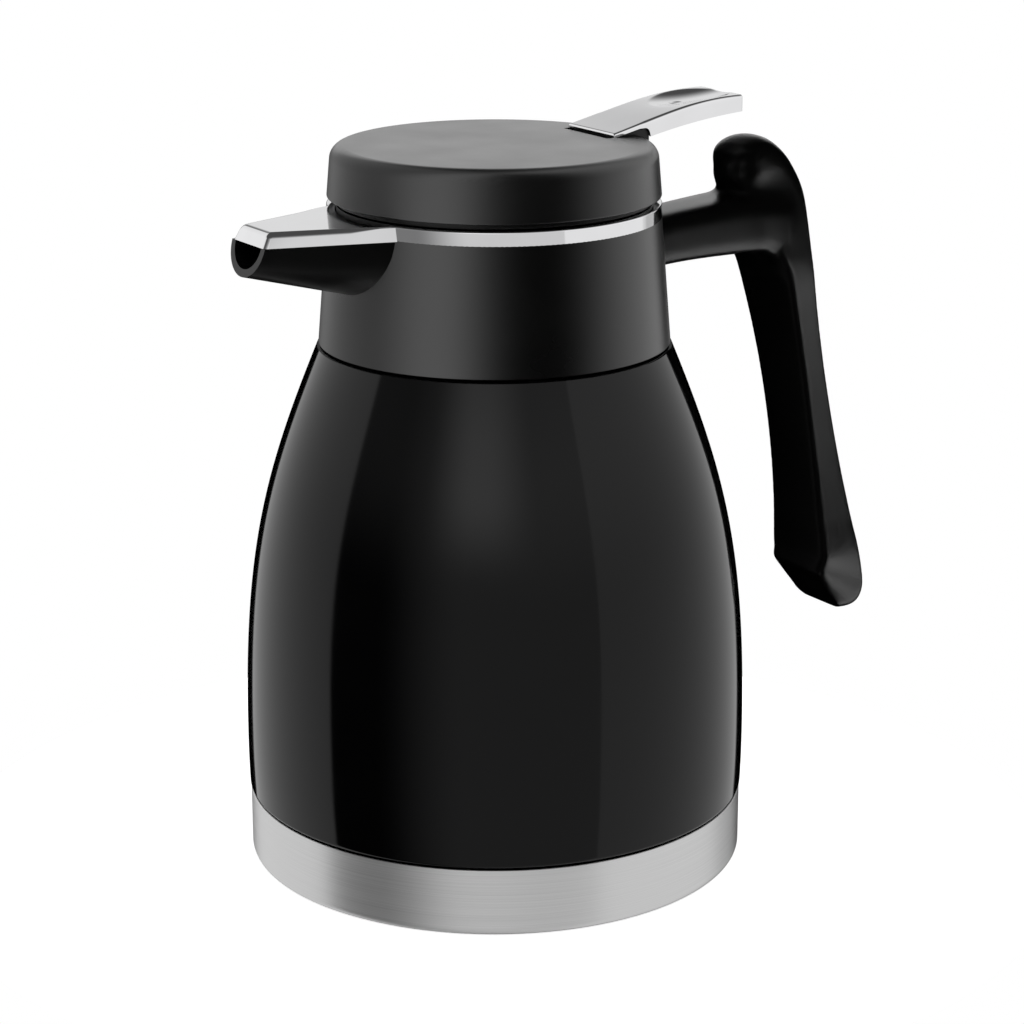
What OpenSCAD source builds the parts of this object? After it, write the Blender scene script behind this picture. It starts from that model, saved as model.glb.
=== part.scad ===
// Vacuum carafe with a press-lever stopper lid.
// Millimetres, +Z up. The origin is the centre of the underside. The spout points to -X,
// and the handle and the thumb lever point to +X.

/* [Body] */
// Widest diameter of the painted body, just above the base cup
body_d = 141.7; // [139:0.1:144]
// Height up to which the body's side stays upright
body_straight_z = 35.1; // [32:0.1:40]
// Height of the shoulder, where the collar stands on the body
shoulder_z = 147.6; // [147:0.1:148.2]
// Diameter of the body at its shoulder
shoulder_d = 98.3; // [97.8:0.1:98.8]
// Height of the brushed base cup
base_h = 19.4; // [17:0.1:22]
// Sheet thickness of the body and the base cup
sheet_t = 0.9; // [0.7:0.1:1.1]

/* [Vacuum flask] */
// Gap between the body and the flask, which holds the vacuum
vacuum_gap = 5.2; // [4.5:0.1:6]
// Inner diameter of the flask's neck
neck_d = 68; // [67.6:0.1:68.4]

/* [Collar and spout] */
// Height of the collar's upper edge
collar_z = 183.4; // [183.2:0.1:183.6]
// Diameter of the collar's foot
collar_foot_d = 97.4; // [97:0.1:98]
// Diameter of the collar's upper edge, of the trim ring and, nearly, of the lid
collar_top_d = 91.7; // [91.4:0.1:92]
// Distance from the axis to the nose of the spout's cover
spout_l = 75.8; // [72:0.1:80]
// Width of the spout where it leaves the collar
spout_root_w = 36.4; // [35:0.1:38]
// Depth of the spout where it leaves the collar
spout_root_h = 16.3; // [15:0.1:16.6]
// Outer width of the spout's mouth
spout_tip_w = 18; // [15:0.1:19]
// Angle by which the mouth's lower lip leans out
mouth_lean = 16; // [0:1:20]
// Wall of the collar and of the spout
collar_wall = 2.3; // [2:0.1:2.5]

/* [Handle] */
// Distance from the axis to the lowest point of the handle's back
handle_reach = 125.8; // [122:0.1:130]
// Width of the handle at its waist
grip_w = 22.4; // [20:0.1:26]
// Width of the arm that joins the handle to the collar
arm_w = 20.4; // [18:0.1:22]
// Height of the arm's upper face, beside the knob
arm_top_z = 180.8; // [179.5:0.1:182]
// Height of the arm's underside
arm_low_z = 164.8; // [163:0.1:166.5]
// Height of the thumb knob above the handle
knob_top_z = 198; // [196:0.1:199]

/* [Lid] */
// Height of the lid's flat top
lid_top_z = 203; // [202.8:0.1:203.6]
// Radius of the edge between the lid's side and top
lid_edge_r = 4; // [3.4:0.1:4.2]
// Wall of the lid cover
lid_wall = 2.2; // [2:0.1:2.3]

/* [Lever] */
// Width of the lever at its front edge
lever_front_w = 22.4; // [22:0.1:23]
// Width of the lever at its thumb end
lever_rear_w = 20; // [18:0.1:21]
// Distance from the axis to the lever's thumb end
lever_end_x = 77; // [75:0.1:79]
// Distance from the axis to the hinge pin
pin_x = 37; // [36.8:0.1:37.2]
// Height of the hinge pin
pin_z = 197; // [196.9:0.1:197.1]
// Diameter of the hinge pin
pin_d = 3; // [2.6:0.1:3.2]

/* [Valve] */
// Diameter of the valve stem
stem_d = 6; // [5.6:0.1:6.2]
// Diameter of the valve disc
disc_d = 28; // [26:0.5:30]
// Number of turns of the return spring
spring_turns = 6; // [4:1:7]
// Thickness of the spring's wire
spring_wire = 0.9; // [0.7:0.1:1.1]

/* [Hidden] */
$fn = 96;
seat_gap = 0.3;            // gap between bodies that move apart
run_gap = 0.06;            // radial clearance of a shaft in its bore
joint_line = 0.35;         // dark line between base cup and body
handle_screw_x = 41.7;
handle_screw_y = 5;

body_r = body_d / 2;
shoulder_r = shoulder_d / 2;
base_r = body_r - 0.55;
foot_t = 1.6;
cup_low_z = 0.3;
cup_step_r = base_r - 5.8;
cup_flange_r = cup_step_r - 8;
foot_r = cup_step_r - 0.6;
skirt_r = base_r - sheet_t - 0.4;
plate_z = 7;

neck_r = neck_d / 2;
flask_wall = 0.7;
flask_floor_z = 14;
flask_rim_z = 166;
shell_neck_r = neck_r + 3.6;
getter_r = 8;
gasket_t = 1.2;

collar_foot_z = shoulder_z + 0.75;
collar_foot_r = collar_foot_d / 2;
collar_r = collar_top_d / 2;
collar_floor_z = flask_rim_z + gasket_t;
collar_floor_t = 2.2;
collar_floor_top = collar_floor_z + collar_floor_t;
collar_rim_z = collar_z + 2.4;
collar_top_t = 1.8;
sleeve_r = neck_r + 2.4;
sleeve_t = 2;
window_angle = 25;
window_low_z = 171;
window_high_z = 181.2;
duct_angle = 29;

trim_z = 187.15;
trim_skirt_t = 0.95;
trim_hole_r = sleeve_r + sleeve_t;
cover_t = 1.4;
cover_low_z = collar_z - 0.2;
nose_rake = 2.05;

grip_low_z = 70;
grip_high_z = 158;

lid_low_z = 188.9;
lid_low_r = collar_r - 0.1;
lid_high_z = lid_top_z - lid_edge_r;
lid_high_r = lid_low_r - 0.85;
lid_floor_z = trim_z + seat_gap;
lid_floor_t = 2.15;
lid_flange_r = lid_low_r - lid_wall - 0.3;
slot_front_x = 31.3;
slot_half_w = 10.7;
slot_low_z = 198.9;
boss_r = 3;
boss_ring_r = 39.2;
lid_screw_angles = [60, 180, 300];
lid_screw_r = 1.25;

stopper_r = sleeve_r - 0.6;
plug_r = neck_r - 0.8;
plug_wall = 2.2;
plug_low_z = 151;
stopper_step_z = collar_floor_top + seat_gap;
deck_z = 184;
deck_t = 2;
seat_r = 9.5;
seat_z = 156.7;
guide_r = 5.5;
ear_in_y = 10.8;
ear_t = 2.8;
ear_r = 3;

stem_r = stem_d / 2;
disc_r = disc_d / 2;
seal_t = 1.9;
disc_low_z = seat_z + seat_gap + seal_t;
disc_t = 2.3;
disc_top_z = disc_low_z + disc_t;
cap_low_z = 191;
cap_t = 2.2;
cap_r = 7;
fork_top_z = cap_low_z - seat_gap;
pad_r = 1.8;

lever_front_x = 31.8;
lever_front_z = 204.05;
lever_end_z = 211.2;
lever_shell = 1;
skirt_start_x = 44.5;
skirt_start_z = 202.3;
skirt_end_z = 206.5;
dish_x = 64.5;
dish_r = 9;
dish_depth = 0.9;

spring_r = 7.5;
spring_low_z = disc_top_z + 0.1;
spring_high_z = deck_z - 0.1;
spring_rings = 8;
spring_sides = 6;

// Cubic curve through p[0] and p[3], drawn towards p[1] and p[2]
function curve(p, n) =
    [for (i = [0:n]) let (t = i / n, s = 1 - t)
        s*s*s * p[0] + 3*s*s*t * p[1] + 3*s*t*t * p[2] + t*t*t * p[3]];

// Arc of radius r about c, from angle a to angle b
function arc(c, r, a, b, n = 6) =
    [for (i = [0:n]) let (t = a + (b - a) * i / n) c + r * [cos(t), sin(t)]];

// Left-hand normal of a path at its point i
function normal(p, i) =
    let (d = p[min(i + 1, len(p) - 1)] - p[max(i - 1, 0)]) [-d[1], d[0]] / norm(d);

// Outline of a wall of thickness t that lies to the left of the path, from its point i to j
function wall_part(p, t, i, j) =
    concat([for (k = [i:j]) p[k]], [for (k = [j:-1:i]) p[k] + t * normal(p, k)]);

function wall(p, t) = wall_part(p, t, 0, len(p) - 1);

// Closed curve between an ellipse (n = 2) and a rectangle (n large), with half axes a and b
function squircle(a, b, n, count = 40) =
    [for (i = [0:count - 1]) let (t = 360 * (i + 0.5) / count, c = cos(t), s = sin(t))
        [a * sign(c) * pow(abs(c), 2 / n), b * sign(s) * pow(abs(s), 2 / n)]];

// Outline of the body from its lower curl to its shoulder, then over the shoulder to the neck
function body_path() = concat(
    [[skirt_r, 4], [skirt_r, base_h - 0.6]],
    [[skirt_r + 0.35, base_h + joint_line]],
    arc([body_r - 1.5, base_h + joint_line + 1.2], 1.2, -75, 0, 4),
    [[body_r - 0.05, base_h + 5]],
    curve([[body_r, body_straight_z], [body_r, body_straight_z + 54.2],
           [shoulder_r + 15, shoulder_z - 36.4], [shoulder_r, shoulder_z]], 16),
    [[shoulder_r - 0.6, shoulder_z + 0.35]],
    curve([[shell_neck_r + 3, shoulder_z + 0.35], [shell_neck_r + 1, shoulder_z + 0.35],
           [shell_neck_r, shoulder_z + 1.4], [shell_neck_r, shoulder_z + 3.4]], 4),
    [[shell_neck_r, flask_rim_z - flask_wall]]);
body_neck_point = 27;      // point of the body's path where its neck is joined on

// Outline of the flask's outside, from the middle of its floor to its neck
function flask_path() = let (r = body_r - vacuum_gap) concat(
    [[0, flask_floor_z + 1.3], [14, flask_floor_z + 1.3]],
    curve([[20, flask_floor_z + 1], [44, flask_floor_z - 0.6],
           [r, flask_floor_z - 1.5], [r, body_straight_z]], 8),
    curve([[r, body_straight_z + 2], [r, body_straight_z + 52],
           [shoulder_r + 9.8, shoulder_z - 38], [shoulder_r - 4, shoulder_z - 5]], 10),
    curve([[shoulder_r - 4.5, shoulder_z - 4.1], [shoulder_r - 6, shoulder_z - 2.4],
           [neck_r + flask_wall, shoulder_z - 3.4], [neck_r + flask_wall, shoulder_z + 3]], 6),
    [[neck_r + flask_wall, flask_rim_z - flask_wall - 0.8]],
    [[neck_r + flask_wall + 0.8, flask_rim_z - flask_wall], [shell_neck_r, flask_rim_z - flask_wall]]);
floor_end_point = 8;       // points of the flask's path where floor, wall and neck meet
neck_start_point = 22;

module base_foot() {
    color([0.07, 0.07, 0.07])
    rotate_extrude()
    polygon([[0, 0], [foot_r - 0.5, 0], [foot_r, 0.5], [foot_r, foot_t], [0, foot_t]]);
}

module base_cup() {
    path = concat(
        [[cup_flange_r, foot_t], [cup_step_r, foot_t], [cup_step_r + 1.1, cup_low_z]],
        arc([base_r - 2, cup_low_z + 2], 2, -90, 0, 6),
        [[base_r, base_h - 0.4], [base_r - 0.3, base_h]]);
    color([0.72, 0.72, 0.72])
    rotate_extrude()
    polygon(wall(path, sheet_t));
}

module outer_body() {
    color([0.02, 0.02, 0.02])
    rotate_extrude()
    polygon(wall_part(body_path(), sheet_t, 0, body_neck_point));
}

module body_neck() {
    path = body_path();
    color([0.02, 0.02, 0.02])
    rotate_extrude()
    polygon(wall_part(path, sheet_t, body_neck_point, len(path) - 1));
}

module bottom_plate() {
    color([0.6, 0.6, 0.62])
    rotate_extrude()
    polygon(wall([[0, plate_z - 1.6], [7, plate_z - 1.6], [9.5, plate_z], [56, plate_z],
                  [60, plate_z + 1.6], [skirt_r - 4.4, plate_z + 1.6], [skirt_r - 2.6, plate_z + 0.4],
                  [skirt_r - 1.9, plate_z - 2.6]], 0.8));
}

module evacuation_plug() {
    color([0.4, 0.4, 0.42])
    translate([0, 0, plate_z - 2.8])
    cylinder(r1 = 2.6, r2 = 3.2, h = 1.2);
}

module getter_capsule() {
    color([0.5, 0.5, 0.5])
    translate([0, 0, flask_floor_z - 1.9])
    cylinder(r = getter_r, h = 3);
}

module flask_floor() {
    color([0.75, 0.75, 0.76])
    rotate_extrude()
    polygon(wall_part(flask_path(), flask_wall, 0, floor_end_point));
}

module inner_flask() {
    color([0.75, 0.75, 0.76])
    rotate_extrude()
    polygon(wall_part(flask_path(), flask_wall, floor_end_point, neck_start_point));
}

module flask_neck() {
    path = flask_path();
    color([0.75, 0.75, 0.76])
    rotate_extrude()
    polygon(wall_part(path, flask_wall, neck_start_point, len(path) - 1));
}

module neck_gasket() {
    color([0.85, 0.85, 0.82])
    translate([0, 0, flask_rim_z])
    difference() {
        cylinder(r = shell_neck_r + 1.6, h = gasket_t);
        translate([0, 0, -1])
        cylinder(r = neck_r + 0.5, h = gasket_t + 2);
    }
}

// Half ellipse that hangs below z = top, as a thin sheet square to X, or leaning out
module trough_section(x, half_w, depth, top, lean) {
    translate([x, 0, top])
    rotate([0, lean, 0])
    rotate([90, 0, 90])
    linear_extrude(0.02)
    polygon([for (i = [0:20]) let (t = 180 + 9 * i) [half_w * cos(t), depth * sin(t)]]);
}

module trough(inset, root_x, tip_x, top) {
    hull() {
        trough_section(root_x, spout_root_w / 2 + 0.4 - inset, spout_root_h + 0.6 - inset, top, 0);
        trough_section(tip_x, spout_tip_w / 2 - inset, spout_tip_w / 2 - 0.2 - inset, top,
                       mouth_lean);
    }
}

// Ring segment of the given radii and heights, half_angle to each side of -X
module spout_sector(r0, r1, z0, z1, half_angle) {
    translate([0, 0, z0])
    rotate([0, 0, 180 - half_angle])
    rotate_extrude(angle = 2 * half_angle)
    translate([r0, 0])
    square([r1 - r0, z1 - z0]);
}

module collar() {
    hollow_r = collar_r - collar_wall;
    foot_in_r = collar_foot_r - collar_wall;
    color([0.05, 0.05, 0.05])
    difference() {
        union() {
            difference() {
                union() {
                    rotate_extrude()
                    polygon([[0, collar_foot_z], [collar_foot_r, collar_foot_z],
                             [collar_r, collar_z], [collar_r - trim_skirt_t - 0.1, collar_z],
                             [collar_r - trim_skirt_t - 0.1, collar_rim_z], [0, collar_rim_z]]);
                    trough(0, -40, -spout_l, collar_z - 0.2);
                }
                rotate_extrude()
                polygon([[0, collar_foot_z - 1], [foot_in_r, collar_foot_z - 1],
                         [foot_in_r, collar_foot_z], [hollow_r + 1.2, collar_floor_z],
                         [hollow_r + 0.2, collar_rim_z - collar_top_t],
                         [0, collar_rim_z - collar_top_t]]);
                translate([0, 0, collar_rim_z - 3])
                cylinder(r = sleeve_r + sleeve_t, h = 6);
            }
            rotate_extrude()
            polygon([[hollow_r + 1.8, collar_floor_top], [hollow_r + 1.8, collar_floor_z],
                     [shell_neck_r + 2, collar_floor_z], [shell_neck_r + 2, shoulder_z + 9],
                     [shell_neck_r + 0.2, shoulder_z + 9], [shell_neck_r + 0.2, flask_rim_z],
                     [shell_neck_r + 1.7, flask_rim_z], [shell_neck_r + 1.7, collar_floor_z],
                     [neck_r + 0.4, collar_floor_z], [neck_r + 0.4, collar_floor_top]]);
        }
        trough(collar_wall - 0.1, -39, -spout_l - 1, collar_z + 0.01);
        translate([sleeve_r + sleeve_t + 0.3, -8.5, collar_floor_top + 0.3])
        cube([12, 17, 9.5]);
        for (side = [-1, 1])
        translate([handle_screw_x, side * handle_screw_y, collar_floor_z - 1])
        cylinder(r = 1.5, h = collar_floor_t + 2);
    }
}

// Inner tube of the collar: the stopper sits in it, its window lets the drink out to the
// spout, and a rib on each side of the window closes the duct
module pouring_sleeve() {
    rib_l = collar_r - collar_wall - sleeve_r - 1.1;
    color([0.05, 0.05, 0.05])
    difference() {
        union() {
            translate([0, 0, collar_floor_top])
            cylinder(r = sleeve_r + sleeve_t, h = collar_rim_z - collar_floor_top);
            for (side = [-1, 1])
            rotate([0, 0, 180 + side * duct_angle])
            translate([sleeve_r + 1, -0.8, collar_floor_top])
            cube([rib_l, 1.6, collar_rim_z - collar_top_t - collar_floor_top]);
        }
        translate([0, 0, collar_floor_top - 1])
        cylinder(r = sleeve_r, h = 20);
        spout_sector(sleeve_r - 1, sleeve_r + sleeve_t + 1, window_low_z, window_high_z,
                     window_angle);
    }
}

// Wedge of the spout cover: flat top, raked front and sides
module cover_wedge(inset, drop, root_x) {
    nose_x = spout_l - inset;
    root_w = spout_root_w / 2 - inset;
    tip_w = spout_tip_w / 2 - 0.5 - inset;
    ball = 0.6;
    top_z = trim_z - 0.09 - drop - ball;
    hull()
    for (side = [-1, 1]) {
        translate([root_x, side * (root_w + 0.2 - ball), top_z])
        sphere(r = ball, $fn = 16);
        translate([-nose_x + nose_rake + ball, side * (tip_w - 0.8 - ball), top_z])
        sphere(r = ball, $fn = 16);
        translate([root_x, side * (root_w + 0.6), cover_low_z])
        cylinder(r = 0.05, h = 0.1, $fn = 8);
        translate([-nose_x, side * tip_w, cover_low_z])
        cylinder(r = 0.05, h = 0.1, $fn = 8);
    }
}

module trim_ring() {
    color([0.85, 0.85, 0.86])
    difference() {
        union() {
            rotate_extrude()
            polygon([[0, collar_z + 0.15], [collar_r, collar_z + 0.15], [collar_r, trim_z - 0.3],
                     [collar_r - 0.3, trim_z], [0, trim_z]]);
            cover_wedge(0, 0, -41.3);
        }
        cover_wedge(cover_t, cover_t - 0.4, -37);
        translate([-74, -spout_tip_w / 2 + cover_t, cover_low_z - 1])
        cube([20, spout_tip_w - 2 * cover_t, 1.2]);
        translate([0, 0, cover_low_z - 1])
        cylinder(r = collar_r - trim_skirt_t, h = collar_rim_z + 0.1 - cover_low_z + 1);
        translate([0, 0, trim_z - 4])
        cylinder(r = trim_hole_r, h = 8);
    }
}

// Faces of the grip at height z: the side towards the body, the back, and the half width
function grip_front(z) = let (t = (165 - z) / 100) 90.7 + 31 * t - 12.2 * t * t;
function grip_back(z) =
    let (t = (165 - z) / 105) 101 + (handle_reach - 100.8) * (0.81 * t + 0.19 * t * t);
function grip_half(z) = let (d = (z - 112) / 48) grip_w / 2 + 2.4 * d * d;

// Closed section between a front point and a back point of the handle's side view. Its half
// width runs from w0 at the front to w1 at the back, and n sets how square it is.
function handle_ring(front, back, w0, w1, n) =
    [for (p = squircle(1, 1, n, 28))
        let (u = (1 + p[0]) / 2, c = front + (back - front) * u)
        [c[0], p[1] * (w0 + (w1 - w0) * u), c[1]]];

// Upright section of the arm, square to X
function arm_ring(x, low, high, half_w) =
    [for (p = squircle(half_w, (high - low) / 2, 7, 28)) [x, p[0], p[1] + (low + high) / 2]];

// Solid through a row of sections that have the same number of points
module loft(rings) {
    count = len(rings[0]);
    last = (len(rings) - 1) * count;
    sides = [for (i = [0:len(rings) - 2], k = [0:count - 1])
        let (a = i * count + k, b = i * count + (k + 1) % count)
        each [[a, b + count, b], [a, a + count, b + count]]];
    ends = concat([for (k = [1:count - 2]) [0, k, k + 1]],
                  [for (k = [1:count - 2]) [last, last + k + 1, last + k]]);
    polyhedron([for (r = rings) each r], concat(sides, ends));
}

// The grip from its slanted end up to the back of the arm, then over into the thumb knob
module grip_and_knob() {
    top = knob_top_z;
    tip = [
        handle_ring([109.6, 62.2], [handle_reach - 7, 50.6], 9.6, 9.6, 3.5),
        handle_ring([108.6, 63.6], [handle_reach - 3, 51.6], 11.2, 11.2, 4.5),
        handle_ring([108.3, 65], [handle_reach - 0.3, 54.4], 12.1, 12.1, 6),
        handle_ring([108.8, 67.4], [handle_reach + 0.3, 59.5], 12.4, 12.4, 7)];
    grip = [for (z = [grip_low_z:11:grip_high_z])
        handle_ring([grip_front(z), z], [grip_back(z), z], grip_half(z), grip_half(z), 8)];
    knob = [
        handle_ring([89.5, 164.5], [101.2, 165], 13.4, 13.4, 7),
        handle_ring([87.5, 173], [99.8, 173.6], 12.2, 13.1, 6),
        handle_ring([84.5, 179], [98.9, 180], 10, 12.8, 4.5),
        handle_ring([80.8, 181.4], [98.1, 184.6], 8.2, 12.4, 3.6),
        handle_ring([79.2, 183.6], [97, 188.6], 8.4, 12, 3),
        handle_ring([78.4, 185.6], [95.2, top - 5.6], 9.2, 11.7, 2.6),
        handle_ring([78, 187.4], [92.7, top - 2.4], 9.6, 11, 2.4),
        handle_ring([77.9, 189.2], [89.2, top - 0.5], 9.4, 10.3, 2.3),
        handle_ring([78, 190.8], [85.8, top - 0.5], 8.4, 8.8, 2.2),
        handle_ring([78.4, 192.2], [82.2, top - 2.1], 6.4, 6.6, 2.1),
        handle_ring([79, 193.2], [80.3, top - 3.6], 3.4, 3.4, 2)];
    loft(concat(tip, grip, knob));
}

module arm() {
    half = arm_w / 2;
    fillet_r = 10;
    start = [arm_ring(44, arm_low_z - 1.2, arm_top_z - 2.8, half - 0.3),
             arm_ring(60, arm_low_z - 0.2, arm_top_z - 1.3, half),
             arm_ring(76, arm_low_z, arm_top_z, half + 0.8)];
    bend = [for (a = [15:17:83])
        arm_ring(81 + (fillet_r + 2) * sin(a), arm_low_z + 0.2 - fillet_r * (1 - cos(a)),
                 arm_top_z + 0.2, half + 1.2 + a / 60)];
    loft(concat(start, bend));
}

module handle() {
    tenon_x = sleeve_r + sleeve_t + 0.5;
    color([0.06, 0.06, 0.06])
    difference() {
        union() {
            difference() {
                union() {
                    arm();
                    grip_and_knob();
                }
                translate([0, 0, collar_foot_z])
                cylinder(r1 = collar_foot_r + 0.03, r2 = collar_r + 0.03,
                         h = collar_z - collar_foot_z + 0.01);
            }
            translate([tenon_x, -8.3, collar_floor_top + 0.4])
            cube([10, 16.6, 9.2]);
        }
        for (side = [-1, 1])
        translate([handle_screw_x, side * handle_screw_y, collar_floor_z])
        cylinder(r = 1.45, h = 11);
    }
}

module screw(head_r, head_h, shank_r, length) {
    difference() {
        union() {
            cylinder(r = head_r, h = head_h);
            cylinder(r = shank_r, h = length);
        }
        for (turn = [0, 90])
        rotate([0, 0, turn])
        translate([-head_r * 0.6, -0.3, -1])
        cube([head_r * 1.2, 0.6, 1 + head_h * 0.45]);
    }
}

module handle_screws() {
    color([0.65, 0.65, 0.67])
    for (side = [-1, 1])
    translate([handle_screw_x, side * handle_screw_y, collar_floor_z - 2])
    screw(2.3, 2, 1.4, 12);
}

module lid_cover() {
    outer = concat(
        arc([lid_low_r - 1.3, lid_low_z + 1.3], 1.3, -90, 0, 5),
        arc([lid_high_r - lid_edge_r, lid_high_z], lid_edge_r, 3, 90, 8));
    inner_r = lid_high_r - lid_wall;
    inner_edge = lid_edge_r - 1.6;
    color([0.06, 0.06, 0.06])
    difference() {
        union() {
            rotate_extrude()
            polygon(concat(outer, [[0, lid_top_z], [0, lid_top_z - lid_wall]],
                arc([inner_r - inner_edge, lid_top_z - lid_wall - inner_edge], inner_edge, 90, 0, 4),
                [[lid_low_r - lid_wall, lid_low_z + 1], [lid_low_r - lid_wall, lid_low_z]]));
            for (a = lid_screw_angles)
            rotate([0, 0, a])
            translate([boss_ring_r, 0, lid_floor_z + lid_floor_t])
            cylinder(r = boss_r, h = lid_top_z - 1 - lid_floor_z - lid_floor_t);
        }
        for (a = lid_screw_angles)
        rotate([0, 0, a])
        translate([boss_ring_r, 0, lid_floor_z])
        cylinder(r = lid_screw_r, h = 9);
        translate([slot_front_x, -slot_half_w, slot_low_z])
        cube([20, 2 * slot_half_w, 10]);
    }
}

module stopper_body() {
    deck_top = deck_z + deck_t;
    floor_top = lid_floor_z + lid_floor_t;
    groove_z = 182.2;
    color([0.1, 0.1, 0.1])
    difference() {
        union() {
            rotate_extrude()
            polygon([[plug_r - plug_wall, plug_low_z + 3.2], [plug_r, plug_low_z + 3.2],
                     [plug_r, 157], [plug_r - 1.3, 157], [plug_r - 1.3, 161], [plug_r, 161],
                     [plug_r, stopper_step_z], [stopper_r, stopper_step_z],
                     [stopper_r, groove_z], [stopper_r - 1.2, groove_z],
                     [stopper_r - 1.2, groove_z + 1.8], [stopper_r, groove_z + 1.8],
                     [stopper_r, lid_floor_z], [lid_flange_r, lid_floor_z],
                     [lid_flange_r, floor_top], [stopper_r - plug_wall, floor_top],
                     [stopper_r - plug_wall, deck_top], [0, deck_top], [0, deck_z],
                     [stopper_r - plug_wall, deck_z], [stopper_r - plug_wall, stopper_step_z + 2],
                     [plug_r - plug_wall, stopper_step_z]]);
            translate([0, 0, deck_z - 3])
            cylinder(r = guide_r, h = deck_t + 3.6);
            for (side = [-1, 1])
            translate([pin_x, side * (ear_in_y + ear_t / 2), 0])
            rotate([90, 0, 0])
            translate([0, 0, -ear_t / 2]) {
                translate([0, pin_z])
                cylinder(r = ear_r, h = ear_t);
                translate([-ear_r, lid_floor_z + 0.5])
                cube([2 * ear_r, pin_z - lid_floor_z - 0.5, ear_t]);
            }
        }
        translate([0, 0, deck_z - 5])
        cylinder(r = stem_r + run_gap, h = 12);
        spout_sector(plug_r - 3, stopper_r + 2, window_low_z + 0.8, window_high_z - 0.2,
                     window_angle - 1);
        for (a = lid_screw_angles)
        rotate([0, 0, a])
        translate([boss_ring_r, 0, lid_floor_z - 0.01]) {
            cylinder(r = 1.4, h = 6);
            cylinder(r1 = 2.6, r2 = 1.4, h = 1.4);
        }
        translate([pin_x, 20, pin_z])
        rotate([90, 0, 0])
        cylinder(r = pin_d / 2, h = 40);
    }
}

module stopper_base() {
    rim = 2.2;
    color([0.12, 0.12, 0.12])
    rotate_extrude()
    polygon([[seat_r, plug_low_z], [plug_r - 1, plug_low_z], [plug_r, plug_low_z + 1],
             [plug_r, plug_low_z + 3.1], [plug_r - plug_wall - 0.1, plug_low_z + 3.1],
             [plug_r - plug_wall - 0.1, 157.5], [plug_r - plug_wall - 1.6, 157.5],
             [plug_r - plug_wall - 1.6, plug_low_z + 3], [seat_r + rim + 1, plug_low_z + 3],
             [seat_r + rim, seat_z - 0.8], [seat_r + rim - 0.8, seat_z], [seat_r + 0.4, seat_z],
             [seat_r, seat_z - 0.4]]);
}

module soft_ring(r0, r1, z0, z1) {
    edge = (z1 - z0) * 0.3;
    rotate_extrude()
    polygon([[r0, z0], [r1 - edge, z0], [r1, z0 + edge], [r1, z1 - edge], [r1 - edge, z1],
             [r0, z1]]);
}

module stopper_gasket() {
    color([0.85, 0.85, 0.82])
    soft_ring(plug_r - 1.25, neck_r - seat_gap, 157.1, 160.9);
}

module upper_gasket() {
    color([0.85, 0.85, 0.82])
    soft_ring(stopper_r - 1.15, sleeve_r - seat_gap, 182.3, 183.9);
}

module lid_screws() {
    color([0.65, 0.65, 0.67])
    for (a = lid_screw_angles)
    rotate([0, 0, a])
    translate([boss_ring_r, 0, lid_floor_z + 0.05])
    difference() {
        union() {
            cylinder(r1 = 2.5, r2 = 1.3, h = 1.4);
            cylinder(r = lid_screw_r - 0.05, h = 8.5);
        }
        for (turn = [0, 90])
        rotate([0, 0, turn])
        translate([-1.4, -0.25, -1])
        cube([2.8, 0.5, 1.6]);
    }
}

module hinge_pin() {
    color([0.7, 0.7, 0.72])
    translate([pin_x, ear_in_y + ear_t - 0.1, pin_z])
    rotate([90, 0, 0])
    cylinder(r = pin_d / 2, h = 2 * (ear_in_y + ear_t - 0.1));
}

// Side view of the lever's upper face and of its lower edge, from the front to the thumb end
lever_top = curve([[lever_front_x, lever_front_z], [50, 208.2], [60, 211.6],
                   [lever_end_x, lever_end_z]], 12);
lever_low = curve([[skirt_start_x, skirt_start_z], [56, 204.7], [66, 205.9],
                   [lever_end_x - 0.6, skirt_end_z]], 8);
lever_arch = concat([[lever_front_x + 0.2, lever_front_z - 1.1], [40.6, 204.75]],
                    arc([42.5, 203.1], 1.7, 90, 20, 4));

function reversed(p) = [for (i = [len(p) - 1:-1:0]) p[i]];

// Solid with the side view p, from -half_w to half_w
module side_solid(p, half_w) {
    translate([0, half_w, 0])
    rotate([90, 0, 0])
    linear_extrude(2 * half_w)
    polygon(p);
}

// Upright block that narrows from the lever's front width to its rear width
module lever_plan(inset) {
    front = lever_front_w / 2 - inset;
    rear = lever_rear_w / 2 - inset;
    x0 = lever_front_x + inset;
    x1 = lever_end_x - inset;
    translate([0, 0, 180])
    linear_extrude(50)
    polygon([[x0, -front], [x1 - 0.8, -rear - 0.03], [x1, -rear + 0.8], [x1, rear - 0.8],
             [x1 - 0.8, rear + 0.03], [x0, front]]);
}

// Shallow round dish for the thumb, at a depth below the lever's upper face
module thumb_dish(below) {
    big_r = (dish_r * dish_r + dish_depth * dish_depth) / (2 * dish_depth);
    face_z = 210.65;
    translate([dish_x, 0, face_z - dish_depth - below + big_r])
    rotate([0, -4, 0])
    sphere(r = big_r);
}

module lever_cover() {
    inner_top = [for (p = lever_top) p - [0, lever_shell]];
    color([0.85, 0.85, 0.86])
    difference() {
        intersection() {
            side_solid(concat(lever_top, reversed(lever_low), reversed(lever_arch)), 15);
            lever_plan(0);
        }
        intersection() {
            difference() {
                side_solid(concat(inner_top, [[lever_end_x, 200], [lever_front_x, 200]]), 15);
                thumb_dish(lever_shell);
            }
            lever_plan(lever_shell);
        }
        thumb_dish(0);
    }
}

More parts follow.
